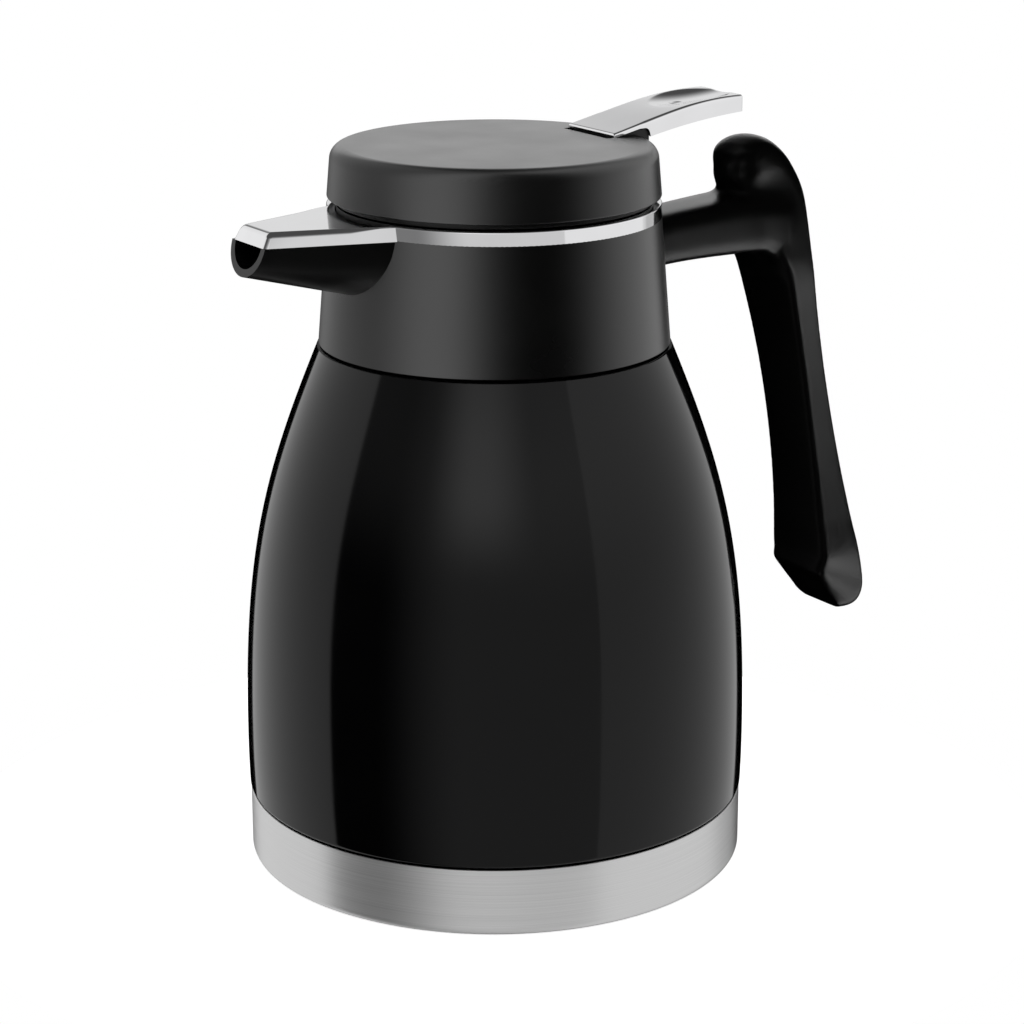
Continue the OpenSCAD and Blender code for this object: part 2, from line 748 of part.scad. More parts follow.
module lever_core() {
    drop = lever_shell + 0.12;
    bar_top = [for (p = lever_top) p - [0, drop]];
    bar_low = [for (p = lever_low) p + [0, 0.7]];
    block_rear_x = 44.3;
    color([0.04, 0.04, 0.04])
    difference() {
        union() {
            intersection() {
                difference() {
                    side_solid(concat(bar_top, reversed(bar_low),
                                      [[block_rear_x, 200.6], [32.4, 200.6]]), 15);
                    thumb_dish(drop);
                }
                lever_plan(drop);
            }
            side_solid([[32.2, 199], [32.2, 203.1], [42.6, 204.5], [block_rear_x, 203],
                        [block_rear_x, 200.6], [41, 200.1], [40.4, 199]], slot_half_w - 0.5);
            side_solid([[31.6, 190.4], [31.6, 200], [40.6, 200], [40.6, 193], [39, 191.2],
                        [37.6, 190.4]], ear_in_y - 0.5);
            side_solid([[33, 190.4], [33, 195], [30, 194], [26, fork_top_z - 1.2],
                        [-5, fork_top_z - 1.2], [-5, fork_top_z - 3.2], [26, fork_top_z - 3.2],
                        [30.5, 190.4]], 7.6);
            cross_bar(0, fork_top_z - pad_r, pad_r, 7.6);
        }
        translate([-8, -stem_r - 0.8, 180])
        cube([14, 2 * stem_r + 1.6, 20]);
        translate([pin_x, 20, pin_z])
        rotate([90, 0, 0])
        cylinder(r = pin_d / 2 + run_gap, h = 40);
    }
}

// Round bar along Y
module cross_bar(x, z, r, half_w) {
    translate([x, half_w, z])
    rotate([90, 0, 0])
    cylinder(r = r, h = 2 * half_w);
}

module valve_plunger() {
    color([0.15, 0.15, 0.15])
    rotate_extrude()
    polygon([[0, disc_low_z], [disc_r, disc_low_z], [disc_r, disc_top_z - 0.6],
             [disc_r - 0.6, disc_top_z], [6, disc_top_z], [5.2, disc_top_z + 2.5],
             [stem_r, disc_top_z + 4], [stem_r, cap_low_z], [stem_r - 1, cap_low_z],
             [stem_r - 1, cap_low_z + cap_t + 0.3], [0, cap_low_z + cap_t + 0.3]]);
}

module valve_seal() {
    color([0.85, 0.85, 0.82])
    soft_ring(seat_r - 2, disc_r - 0.4, disc_low_z - seal_t, disc_low_z);
}

module stem_cap() {
    color([0.2, 0.2, 0.2])
    translate([0, 0, cap_low_z])
    difference() {
        cylinder(r = cap_r, h = cap_t);
        translate([0, 0, -1])
        cylinder(r = stem_r - 1, h = cap_t + 2);
    }
}

// Points along the spring's wire
function coil_point(i) =
    let (n = spring_turns * spring_rings, t = i / n, a = 360 * spring_turns * t)
    [spring_r * cos(a), spring_r * sin(a),
     spring_low_z + spring_wire / 2 + (spring_high_z - spring_low_z - spring_wire) * t];

coil_points = [for (i = [0:spring_turns * spring_rings]) coil_point(i)];

// Ring of the tube about one point, square to the wire's direction
function tube_ring(p, i) =
    let (d = p[min(i + 1, len(p) - 1)] - p[max(i - 1, 0)],
         f = d / norm(d),
         out = [p[i][0], p[i][1], 0] / spring_r,
         side = cross(f, out))
    [for (k = [0:spring_sides - 1]) let (a = 360 * k / spring_sides)
        p[i] + spring_wire / 2 * (cos(a) * out + sin(a) * side / norm(side))];

module valve_spring() {
    rings = len(coil_points);
    last = (rings - 1) * spring_sides;
    points = [for (i = [0:rings - 1]) each tube_ring(coil_points, i)];
    sides = [for (i = [0:rings - 2], k = [0:spring_sides - 1])
        let (a = i * spring_sides + k, b = i * spring_sides + (k + 1) % spring_sides)
        each [[a, b, b + spring_sides], [a, b + spring_sides, a + spring_sides]]];
    ends = concat([for (k = [1:spring_sides - 2]) [0, k + 1, k]],
                  [for (k = [1:spring_sides - 2]) [last, last + k, last + k + 1]]);
    color([0.7, 0.7, 0.72])
    polyhedron(points, [for (f = concat(sides, ends)) reversed(f)]);
}

// Least gap between neighbouring turns, measured on the wire's points
coil_gap = min([for (i = [0:len(coil_points) - 1], j = [0:len(coil_points) - 1])
                if (j - i > spring_rings / 2) norm(coil_points[i] - coil_points[j])])
           - spring_wire;
echo(spring_least_gap = coil_gap);

base_foot();
base_cup();
outer_body();
body_neck();
bottom_plate();
evacuation_plug();
getter_capsule();
flask_floor();
inner_flask();
flask_neck();
neck_gasket();
collar();
pouring_sleeve();
trim_ring();
handle();
handle_screws();
lid_cover();
stopper_body();
stopper_base();
stopper_gasket();
upper_gasket();
lid_screws();
hinge_pin();
lever_core();
lever_cover();
valve_plunger();
valve_seal();
stem_cap();
valve_spring();
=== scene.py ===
"""Vacuum carafe with a press-lever stopper lid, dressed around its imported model.

The spout points to -X, the handle and the thumb lever to +X. Every length is in metres.
"""
import math

import bmesh
import bpy
import numpy as np
from bpy.props import FloatProperty, FloatVectorProperty, PointerProperty
from bpy.types import Operator, Panel, PropertyGroup
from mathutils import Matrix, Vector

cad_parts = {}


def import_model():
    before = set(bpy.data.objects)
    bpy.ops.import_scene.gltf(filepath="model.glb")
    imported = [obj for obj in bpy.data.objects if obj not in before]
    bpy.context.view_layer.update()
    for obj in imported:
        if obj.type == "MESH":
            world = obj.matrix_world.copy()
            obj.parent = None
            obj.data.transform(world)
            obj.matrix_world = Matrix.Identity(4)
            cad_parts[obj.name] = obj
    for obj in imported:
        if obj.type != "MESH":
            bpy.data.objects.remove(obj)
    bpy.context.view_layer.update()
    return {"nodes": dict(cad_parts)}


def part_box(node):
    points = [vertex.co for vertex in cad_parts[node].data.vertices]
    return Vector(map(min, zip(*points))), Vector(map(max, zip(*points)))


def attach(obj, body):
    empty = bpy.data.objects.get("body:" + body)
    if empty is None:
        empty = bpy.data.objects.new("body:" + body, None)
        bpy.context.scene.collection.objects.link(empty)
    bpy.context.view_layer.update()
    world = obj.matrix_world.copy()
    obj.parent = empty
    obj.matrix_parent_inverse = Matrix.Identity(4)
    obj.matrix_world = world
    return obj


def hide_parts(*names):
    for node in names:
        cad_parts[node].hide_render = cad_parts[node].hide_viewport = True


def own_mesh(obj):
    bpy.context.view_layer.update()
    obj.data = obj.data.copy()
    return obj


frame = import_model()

bl_info = {
    "name": "Vacuum carafe",
    "version": (1, 0, 0),
    "blender": (4, 5, 0),
    "location": "3D View > Sidebar > Carafe",
    "description": "A vacuum carafe with a stopper lid, a pouring lever and a moulded handle",
    "category": "Add Mesh",
}

MM = 0.001
ROUND = 192                # steps round the carafe's axis
FINE_ROUND = 256           # the same for the widest pieces
SEAT_DROP = 2.4 * MM       # from the collar's rim down to the step under the trim ring


def low(node):
    """Lowest corner of a node of the frame."""
    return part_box(node)[0]


def high(node):
    """Highest corner of a node of the frame."""
    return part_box(node)[1]


def length(name, description, default):
    """A length that the user may change."""
    return FloatProperty(name=name, description=description, default=default,
                         unit="LENGTH", precision=5)


def colour(name, description, default):
    """A colour that the user may change."""
    return FloatVectorProperty(name=name, description=description, default=default,
                               subtype="COLOR", size=3, min=0, max=1)


def factor(name, description, default):
    """A plain number that the user may change."""
    return FloatProperty(name=name, description=description, default=default, min=0)


class BodySizes(PropertyGroup):
    """Painted shell and base cup."""
    radius: length("Radius", "Widest radius of the painted shell", high("outer_body").x)
    straight: length("Straight height", "Height up to which the side stays upright", 35.1 * MM)
    shoulder_radius: length("Shoulder radius", "Radius at the shoulder", 49.15 * MM)
    shoulder: length("Shoulder height", "Height of the shoulder", low("collar").z - 0.75 * MM)
    neck_radius: length("Neck radius", "Radius of the neck inside the collar", 37.6 * MM)
    base_radius: length("Base radius", "Radius of the base cup", high("base_cup").x)
    base_height: length("Base height", "Height of the base cup", high("base_cup").z)
    sheet: length("Sheet", "Thickness of the shell and the cup", 0.9 * MM)


class CollarSizes(PropertyGroup):
    """Collar, spout and trim ring."""
    foot_radius: length("Foot radius", "Radius of the collar's foot", 48.7 * MM)
    foot: length("Foot height", "Height of the collar's foot", low("collar").z)
    top_radius: length("Top radius", "Radius of the collar's upper edge", high("trim_ring").x)
    rim: length("Rim height", "Height of the rim inside the trim ring", high("collar").z)
    trim_top: length("Trim height", "Height of the trim ring's upper face", high("trim_ring").z)
    hole: length("Hole radius", "Radius of the hole in the rim", high("pouring_sleeve").y)
    reach: length("Spout reach", "Distance from the axis to the spout's nose", 75.8 * MM)
    root_width: length("Spout root width", "Width of the spout at the collar", 36.4 * MM)
    root_depth: length("Spout root depth", "Depth of the spout at the collar", 18 * MM)
    mouth_width: length("Mouth width", "Outer width of the spout's mouth", 18 * MM)
    mouth_lean: factor("Mouth lean", "Degrees by which the mouth's lower lip leans out", 16)
    wall: length("Wall", "Wall of the collar and the spout", 2.3 * MM)
    nose_width: length("Nose width", "Width of the spout cover's nose", 17 * MM)
    nose_rake: length("Nose rake", "How far the nose leans in up to its top", 2.05 * MM)
    nose_corner: length("Nose corner", "Radius of the nose's upright corners", 1.8 * MM)
    ring_edge: length("Ring edge", "Radius of the ring's upper edge", 0.45 * MM)
    cover_edge: length("Cover edge", "Radius of the spout cover's upper edges", 1.5 * MM)


class HandleSizes(PropertyGroup):
    """Handle with its arm and thumb knob."""
    reach: length("Reach", "Distance from the axis to the handle's back", 125.8 * MM)
    waist: length("Waist width", "Width of the grip at its waist", 22.4 * MM)
    arm_width: length("Arm width", "Width of the arm at the collar", 20.4 * MM)
    arm_top: length("Arm top", "Height of the arm's upper face", 180.8 * MM)
    arm_low: length("Arm underside", "Height of the arm's underside", 164.8 * MM)
    knob_top: length("Knob top", "Height of the thumb knob", 198 * MM)


class LidSizes(PropertyGroup):
    """Black lid cap."""
    radius: length("Radius", "Radius of the lid's lower edge", high("lid_cover").y)
    foot: length("Foot height", "Height of the lid's lower edge", low("lid_cover").z)
    top: length("Top height", "Height of the lid's flat top", high("lid_cover").z)
    edge: length("Edge radius", "Radius between the side and the top", 4 * MM)
    wall: length("Wall", "Wall of the lid", 2.2 * MM)
    slot_front: length("Slot front", "Distance from the axis to the lever's slot", 29.8 * MM)
    slot_half: length("Slot half width", "Half the width of the lever's slot", 10.7 * MM)
    slot_floor: length("Slot floor", "Height of the slot's floor", 198.9 * MM)


class LeverSizes(PropertyGroup):
    """Chrome thumb lever."""
    front: length("Front", "Distance from the axis to the front edge", low("lever_cover").x)
    end: length("End", "Distance from the axis to the thumb end", high("lever_cover").x)
    front_width: length("Front width", "Width at the front edge", 22.4 * MM)
    end_width: length("End width", "Width at the thumb end", 20 * MM)
    shell: length("Shell", "Thickness of the chrome shell", 0.8 * MM)
    edge: length("Edge radius", "Radius along the upper edges", 0.8 * MM)
    dish: length("Dish place", "Distance from the axis to the dish's middle", 65.5 * MM)
    dish_depth: length("Dish depth", "Depth of the thumb dish", 1.5 * MM)


class Colours(PropertyGroup):
    """Colours of the carafe's finishes."""
    paint: colour("Paint", "Gloss paint of the body", (0.001, 0.001, 0.0011))
    collar: colour("Collar", "Moulding of the collar and spout", (0.002, 0.002, 0.002))
    lid: colour("Lid", "Moulding of the lid", (0.003, 0.003, 0.003))
    handle: colour("Handle", "Moulding of the handle", (0.002, 0.002, 0.002))
    lever_block: colour("Lever block", "Moulding under the lever", (0.002, 0.002, 0.002))
    stopper: colour("Stopper", "Moulding of the stopper and the valve", (0.004, 0.004, 0.004))
    chrome: colour("Chrome", "Trim ring, spout cover and lever", (0.86, 0.86, 0.87))
    base: colour("Base steel", "Brushed steel of the base cup", (0.68, 0.68, 0.68))
    flask: colour("Flask steel", "Steel of the flask and the plates", (0.62, 0.62, 0.63))
    fastener: colour("Fasteners", "Screws, pin and spring", (0.6, 0.6, 0.62))
    silicone: colour("Silicone", "Sealing rings", (0.7, 0.69, 0.66))
    rubber: colour("Rubber", "Foot under the base", (0.03, 0.03, 0.03))


class StudioSettings(PropertyGroup):
    """Light and floor."""
    world: factor("World", "Level of the light from all round", 0.75)
    key: factor("Front light", "Radiance of the soft light above the camera", 1.6)
    floor: colour("Floor", "Colour of the floor", (0.8, 0.8, 0.8))


# Curves and outlines, as arrays of points

def cubic(start, pull_a, pull_b, end, count):
    """Cubic curve from start to end drawn towards the two pulls: the Bernstein sum over t."""
    t = np.linspace(0, 1, count)[:, None]
    s = 1 - t
    return (s**3 * np.asarray(start) + 3 * s * s * t * np.asarray(pull_a)
            + 3 * s * t * t * np.asarray(pull_b) + t**3 * np.asarray(end))


def arc(centre, radius, start, end, count=9):
    """Points on a circle about centre, from angle start to angle end in degrees."""
    angle = np.radians(np.linspace(start, end, count))
    return np.asarray(centre) + radius * np.stack([np.cos(angle), np.sin(angle)], -1)


def path(*parts):
    """One path made of curves and single points."""
    return np.vstack([np.atleast_2d(p) for p in parts])


def wall(line, thickness):
    """Closed outline of a wall to the left of a line: the line, then its offset back again."""
    along = np.gradient(line, axis=0)
    normal = np.stack([-along[:, 1], along[:, 0]], -1)
    normal /= np.linalg.norm(normal, axis=1, keepdims=True)
    return np.vstack([line, (line + thickness * normal)[::-1]])


def squircle(half_a, half_b, power, count):
    """Closed curve |x / a| ** n + |y / b| ** n = 1. The inputs may be columns, one per ring."""
    angle = 2 * np.pi * (np.arange(count) + 0.5) / count
    c, s = np.cos(angle), np.sin(angle)
    x = half_a * np.sign(c) * np.abs(c) ** (2 / power)
    y = half_b * np.sign(s) * np.abs(s) ** (2 / power)
    return x, y


def through(stations, steps):
    """Rows between given rows, on a cubic that passes each with the slope of its neighbours."""
    rows = np.asarray(stations, float)
    slope = np.gradient(rows, axis=0)
    t = np.linspace(0, 1, steps, endpoint=False)[:, None, None]
    a, b, da, db = rows[:-1], rows[1:], slope[:-1], slope[1:]
    blend = ((2 * t**3 - 3 * t**2 + 1) * a + (t**3 - 2 * t**2 + t) * da
             + (-2 * t**3 + 3 * t**2) * b + (t**3 - t**2) * db)
    return np.vstack([blend.transpose(1, 0, 2).reshape(-1, rows.shape[1]), rows[-1:]])


# Meshes

def surface(name, points, rows_meet=False, ends=False):
    """Mesh of a grid of points. Each row closes on itself; rows_meet joins the last row to
    the first, and ends fills the first and the last row with a face each."""
    rows, columns = points.shape[:2]
    index = np.arange(rows * columns).reshape(rows, columns)
    index = np.hstack([index, index[:, :1]])
    faces = []
    if ends:
        faces = [index[0, :-1].tolist(), index[-1, :-1][::-1].tolist()]
    if rows_meet:
        index = np.vstack([index, index[:1]])
    corners = [index[:-1, :-1], index[:-1, 1:], index[1:, 1:], index[1:, :-1]]
    quads = np.stack(corners, -1).reshape(-1, 4).tolist()
    mesh = bpy.data.meshes.new(name)
    mesh.from_pydata(points.reshape(-1, 3), [], quads + faces)
    piece = bpy.data.objects.new(name, mesh)
    bpy.context.scene.collection.objects.link(piece)
    close(piece)
    return piece


def close(piece, distance=0.002 * MM):
    """Merges doubled points, so that seams and poles are closed, and turns faces outwards."""
    work = bmesh.new()
    work.from_mesh(piece.data)
    bmesh.ops.remove_doubles(work, verts=work.verts, dist=distance)
    bmesh.ops.recalc_face_normals(work, faces=work.faces)
    work.to_mesh(piece.data)
    work.free()


def revolved(name, outline, steps=ROUND):
    """Closed outline of radius and height carried round Z: x = r cos a, y = r sin a."""
    angle = np.linspace(0, 2 * np.pi, steps, endpoint=False)
    r, z = outline[:, 0], outline[:, 1]
    points = np.stack([np.outer(np.cos(angle), r), np.outer(np.sin(angle), r),
                       np.tile(z, (steps, 1))], -1)
    return surface(name, points, rows_meet=True)


def slab(name, outline, half_width):
    """Side view outline (x, z) drawn out along Y from -half_width to half_width."""
    sides = [np.insert(outline, 1, y, axis=1) for y in (-half_width, half_width)]
    return surface(name, np.array(sides), ends=True)


def bake(piece):
    """Takes the shape that the piece's modifiers give as its own mesh."""
    bpy.context.view_layer.update()
    graph = bpy.context.evaluated_depsgraph_get()
    made = bpy.data.meshes.new_from_object(piece.evaluated_get(graph))
    if not made.polygons:
        raise RuntimeError(f"{piece.name} came out empty")
    piece.modifiers.clear()
    piece.data, old = made, piece.data
    bpy.data.meshes.remove(old)
    made.name = piece.name


def combine(piece, other, operation):
    """Joins or cuts a piece with another by an exact boolean, and deletes the other."""
    modifier = piece.modifiers.new("combine", "BOOLEAN")
    modifier.operation = operation
    modifier.solver = "EXACT"
    modifier.object = other
    bake(piece)
    bpy.data.objects.remove(other)


def blended(piece, voxel, centre, reach, rounds, plain_rounds):
    """One even skin over joined forms. In each round a point moves halfway to the mean of its
    neighbours: near the centre only where that mean lies outside the surface, which fills the
    creases with a fillet, and in the last plain rounds everywhere."""
    modifier = piece.modifiers.new("even skin", "REMESH")
    modifier.mode = "VOXEL"
    modifier.voxel_size = voxel
    bake(piece)
    mesh = piece.data
    count = len(mesh.vertices)
    points = np.empty(count * 3)
    mesh.vertices.foreach_get("co", points)
    points = points.reshape(-1, 3)
    edges = np.empty(len(mesh.edges) * 2, int)
    mesh.edges.foreach_get("vertices", edges)
    first, second = edges.reshape(-1, 2).T
    degree = np.bincount(edges, minlength=count)[:, None]
    far = np.linalg.norm(points - centre, axis=1, keepdims=True) / reach
    near = np.clip(1.5 - 1.5 * far**2, 0, 1)
    normals = np.empty(count * 3)
    for turn in range(rounds + plain_rounds):
        total = [np.bincount(first, points[second, k], count)
                 + np.bincount(second, points[first, k], count) for k in range(3)]
        step = np.stack(total, -1) / degree - points
        if turn < rounds:
            mesh.vertices.foreach_set("co", points.ravel())
            mesh.update()
            mesh.vertex_normals.foreach_get("vector", normals)
            rises = (step * normals.reshape(-1, 3)).sum(1, keepdims=True) > 0
            step = step * near * rises
        points = points + 0.5 * step
    mesh.vertices.foreach_set("co", points.ravel())
    mesh.update()


def dress(piece, body, replaced, finish, sharp=32):
    """Smooth shading with sharp edges, one finish, and the piece's place in the frame."""
    piece.data.shade_smooth()
    piece.data.set_sharp_from_angle(angle=math.radians(sharp))
    weighted = piece.modifiers.new("even shading", "WEIGHTED_NORMAL")
    weighted.keep_sharp = True
    piece.data.materials.clear()
    piece.data.materials.append(finish)
    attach(piece, body)
    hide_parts(*replaced)


# Finishes

def node(tree, kind, inputs=None, **settings):
    """New shader node: first its settings, then its inputs, each of which is a plain value
    or another node's output."""
    made = tree.nodes.new("ShaderNode" + kind)
    for name, value in settings.items():
        setattr(made, name, value)
    for key, value in (inputs or {}).items():
        if isinstance(value, bpy.types.NodeSocket):
            tree.links.new(value, made.inputs[key])
        else:
            made.inputs[key].default_value = value
    return made


def shader_of(name, metallic, roughness, tint):
    """Material, its tree and its shader, with the plain values on the shader's own sockets."""
    material = bpy.data.materials.new(name)
    material.use_nodes = True
    shader = material.node_tree.nodes["Principled BSDF"]
    shader.inputs["Metallic"].default_value = metallic
    shader.inputs["Roughness"].default_value = roughness
    shader.inputs["Base Color"].default_value = (*tint, 1)
    return material, material.node_tree, shader


def grain(tree, scale, detail=3.0):
    """Noise on object coordinates. The scale is in cells per metre along X, Y and Z."""
    place = node(tree, "TexCoord").outputs["Object"]
    mapping = node(tree, "Mapping", {"Vector": place, "Scale": scale})
    noise = node(tree, "TexNoise", {"Vector": mapping.outputs["Vector"], "Scale": 1,
                                    "Detail": detail})
    return noise.outputs["Fac"]


def between(tree, source, lowest, highest):
    """The middle half of a noise's range, spread from lowest to highest."""
    spread = node(tree, "MapRange", {"Value": source, "From Min": 0.25, "From Max": 0.75,
                                     "To Min": lowest, "To Max": highest})
    return spread.outputs["Result"]


def shaded(tree, source, tint, darkest, lightest):
    """The tint times a factor that a noise moves between darkest and lightest."""
    mix = node(tree, "Mix", {"Factor": between(tree, source, 0, 1),
                             "A": (*(c * darkest for c in tint), 1),
                             "B": (*(min(c * lightest, 1) for c in tint), 1)},
               data_type="RGBA")
    return mix.outputs["Result"]


def vary(tree, shader, noise, roughness, tint, tone):
    """Lets a noise move the roughness between two values, and the tint between two tones."""
    tree.links.new(between(tree, noise, *roughness), shader.inputs["Roughness"])
    tree.links.new(shaded(tree, noise, tint, *tone), shader.inputs["Base Color"])


def relief(tree, shader, noise, height):
    """Bump from a noise, whose full range is as high as height."""
    bump = node(tree, "Bump", {"Height": noise, "Strength": 1, "Distance": height})
    tree.links.new(bump.outputs["Normal"], shader.inputs["Normal"])


def gloss_paint(tint):
    """Hard gloss enamel: a faint orange peel and a slow drift of the gloss."""
    material, tree, shader = shader_of("gloss_paint", 0, 0.07, tint)
    shader.inputs["Specular IOR Level"].default_value = 0.21
    vary(tree, shader, grain(tree, (30, 30, 30)), (0.05, 0.10), tint, (0.8, 1.2))
    relief(tree, shader, grain(tree, (420, 420, 420), 1), 0.0012 * MM)
    return material


def moulded(name, tint, roughness, specular=0.5):
    """Moulded plastic: a fine spark-eroded grain, and a slow drift of tone and sheen."""
    material, tree, shader = shader_of(name, 0, roughness, tint)
    shader.inputs["Specular IOR Level"].default_value = specular
    vary(tree, shader, grain(tree, (45, 45, 45)), (roughness - 0.03, roughness + 0.03),
         tint, (0.85, 1.15))
    relief(tree, shader, grain(tree, (3600, 3600, 3600), 2), 0.006 * MM)
    return material


def chrome_plate(tint):
    """Bright plating: nearly a mirror, with faint polishing haze."""
    material, tree, shader = shader_of("chrome_plate", 1, 0.06, tint)
    vary(tree, shader, grain(tree, (90, 90, 90)), (0.04, 0.09), tint, (0.97, 1.02))
    return material


def brushed(name, tint, roughness, lines, anisotropy):
    """Steel brushed around the axis: noise stretched along the turn gives lines in tone,
    roughness and relief. The number of lines is per metre of height."""
    material, tree, shader = shader_of(name, 1, roughness, tint)
    shader.inputs["Anisotropic"].default_value = anisotropy
    shader.inputs["Anisotropic Rotation"].default_value = 0.25
    tangent = node(tree, "Tangent", direction_type="RADIAL", axis="Z")
    tree.links.new(tangent.outputs["Tangent"], shader.inputs["Tangent"])
    streak = grain(tree, (14, 14, lines), 4)
    vary(tree, shader, streak, (roughness - 0.07, roughness + 0.07), tint, (0.86, 1.08))
    relief(tree, shader, streak, 0.004 * MM)
    return material


def soft_rubber(name, tint, roughness):
    """Silicone or rubber: a dull skin with a little dust in it."""
    material, tree, shader = shader_of(name, 0, roughness, tint)
    shader.inputs["Sheen Weight"].default_value = 0.15
    vary(tree, shader, grain(tree, (260, 260, 260)), (roughness - 0.06, roughness + 0.06),
         tint, (0.9, 1.06))
    return material


FINISH_MAKERS = {
    "paint": lambda c: gloss_paint(c.paint),
    "collar": lambda c: moulded("collar_moulding", c.collar, 0.29),
    "lid": lambda c: moulded("lid_moulding", c.lid, 0.31),
    "handle": lambda c: moulded("handle_moulding", c.handle, 0.3),
    "lever_block": lambda c: moulded("lever_block_moulding", c.lever_block, 0.35),
    # The stopper's gloss is turned down so that the gap under the lid stays black: painted shade
    # in place of the lid's shadow there.
    "stopper": lambda c: moulded("stopper_moulding", c.stopper, 0.4, specular=0.15),
    "chrome": lambda c: chrome_plate(c.chrome),
    "base": lambda c: brushed("base_steel", c.base, 0.36, 5200, 0.85),
    "flask": lambda c: brushed("flask_steel", c.flask, 0.3, 2600, 0.5),
    "fastener": lambda c: brushed("fastener_steel", c.fastener, 0.25, 4000, 0.3),
    "silicone": lambda c: soft_rubber("silicone", c.silicone, 0.5),
    "rubber": lambda c: soft_rubber("rubber", c.rubber, 0.7),
}
FINISHES = {}


def finish_of(name, context):
    """The material of that name, made on its first use."""
    if name not in FINISHES:
        FINISHES[name] = FINISH_MAKERS[name](context.scene.carafe_colours)
    return FINISHES[name]


# Pieces

class CARAFE_OT_body(Operator):
    """Painted steel shell, from its skirt in the base cup to its neck under the collar"""
    bl_idname = "carafe.body"
    bl_label = "Painted body"

    def execute(self, context):
        s = context.scene.carafe_body
        joint = s.base_height + 0.35 * MM
        skirt_r, skirt_foot = s.base_radius - 1.3 * MM, 4 * MM
        curl = 1.2 * MM
        edge_r = s.radius - 0.3 * MM
        ledge = s.shoulder + 0.35 * MM
        side = cubic([edge_r + 0.02 * MM, joint + curl + 0.5 * MM],
                     [edge_r + 0.15 * MM, joint + 5 * MM],
                     [s.radius, s.straight - 6 * MM], [s.radius, s.straight], 8)
        swell = cubic([s.radius, s.straight + 1 * MM], [s.radius, s.straight + 54.2 * MM],
                      [s.shoulder_radius + 15 * MM, s.shoulder - 36.4 * MM],
                      [s.shoulder_radius, s.shoulder], 64)
        neck = cubic([s.neck_radius + 3 * MM, ledge], [s.neck_radius + 1 * MM, ledge],
                     [s.neck_radius, s.shoulder + 1.4 * MM],
                     [s.neck_radius, s.shoulder + 3.4 * MM], 6)
        line = path([skirt_r, skirt_foot], [skirt_r, joint - 1 * MM],
                    arc([edge_r - curl, joint + curl], curl, -80, 0), side, swell,
                    [s.shoulder_radius - 0.6 * MM, ledge], neck,
                    [s.neck_radius, high("body_neck").z])
        shell = revolved("painted_body", wall(line, s.sheet), FINE_ROUND)
        dress(shell, "carafe", ["outer_body", "body_neck"],
              finish_of("paint", context))
        return {"FINISHED"}


class CARAFE_OT_base(Operator):
    """Brushed steel cup round the bottom"""
    bl_idname = "carafe.base"
    bl_label = "Base cup"

    def execute(self, context):
        s = context.scene.carafe_body
        foot = low("base_cup").z
        ground = high("base_foot").z
        step = high("base_foot").x + 0.6 * MM
        edge = 2 * MM
        lip = 0.3 * MM
        flange = 8 * MM
        line = path(
            [step - flange, ground], [step, ground], [step + 1.1 * MM, foot],
            arc([s.base_radius - edge, foot + edge], edge, -90, 0, 12),
            arc([s.base_radius - lip, s.base_height - lip], lip, 0, 90, 5))
        cup = revolved("brushed_base_cup", wall(line, s.sheet), FINE_ROUND)
        dress(cup, "carafe", ["base_cup"], finish_of("base", context))
        return {"FINISHED"}


def trough(name, inset, root_x, tip_x, top, s):
    """Half ellipses that shrink in a straight line from the spout's root to its tip, where
    the ellipse leans out: the point a of an ellipse lies at (x + h sin a sin l, w cos a,
    top + h sin a cos l) for half width w, depth h and lean l."""
    steps, rows = 64, 30
    angle = np.linspace(np.pi, 2 * np.pi, steps + 1)
    root_half = s.root_width / 2 + 0.4 * MM - inset
    root_depth = s.root_depth + 0.6 * MM - inset
    tip_half = s.mouth_width / 2 - inset
    tip_depth = tip_half - 0.2 * MM
    lean = math.radians(s.mouth_lean)
    root = np.stack([np.full_like(angle, root_x), root_half * np.cos(angle),
                     top + root_depth * np.sin(angle)], -1)
    tip = np.stack([tip_x + tip_depth * np.sin(angle) * math.sin(lean),
                    tip_half * np.cos(angle),
                    top + tip_depth * np.sin(angle) * math.cos(lean)], -1)
    share = np.linspace(0, 1, rows)[:, None, None]
    return surface(name, root + (tip - root) * share, ends=True)


class CARAFE_OT_collar(Operator):
    """Black moulding round the neck, with the spout's trough"""
    bl_idname = "carafe.collar"
    bl_label = "Collar and spout"

    def execute(self, context):
        s = context.scene.carafe_collar
        seat = s.rim - SEAT_DROP
        step = s.top_radius - 1.05 * MM
        chamfer = 0.35 * MM
        plate = s.rim - 1.8 * MM
        web = 2.2 * MM
        web_low = low("pouring_sleeve").z - web
        inside = s.top_radius - s.wall
        side = np.linspace([s.foot_radius - 0.08 * MM, s.foot + 1 * MM],
                           [s.top_radius, seat], 12)
        outline = path(
            [s.foot_radius - s.wall, s.foot], [s.foot_radius - chamfer, s.foot],
            [s.foot_radius - 0.05 * MM, s.foot + chamfer], side,
            [step, seat], [step, s.rim], [s.hole, s.rim], [s.hole, plate],
            [inside + 0.2 * MM, plate], [inside + 0.9 * MM, web_low + web],
            [s.hole, web_low + web], [s.hole, web_low], [inside + 1.2 * MM, web_low])
        collar = revolved("collar_and_spout", outline)
        root, past_ends = -40 * MM, 1 * MM
        combine(collar, trough("spout", 0, root, -s.reach, seat - 0.2 * MM, s), "UNION")
        combine(collar, trough("channel", s.wall - 0.1 * MM, root + past_ends,
                               -s.reach - past_ends, seat + 0.01 * MM, s), "DIFFERENCE")
        dress(collar, "carafe", ["collar"], finish_of("collar", context))
        return {"FINISHED"}


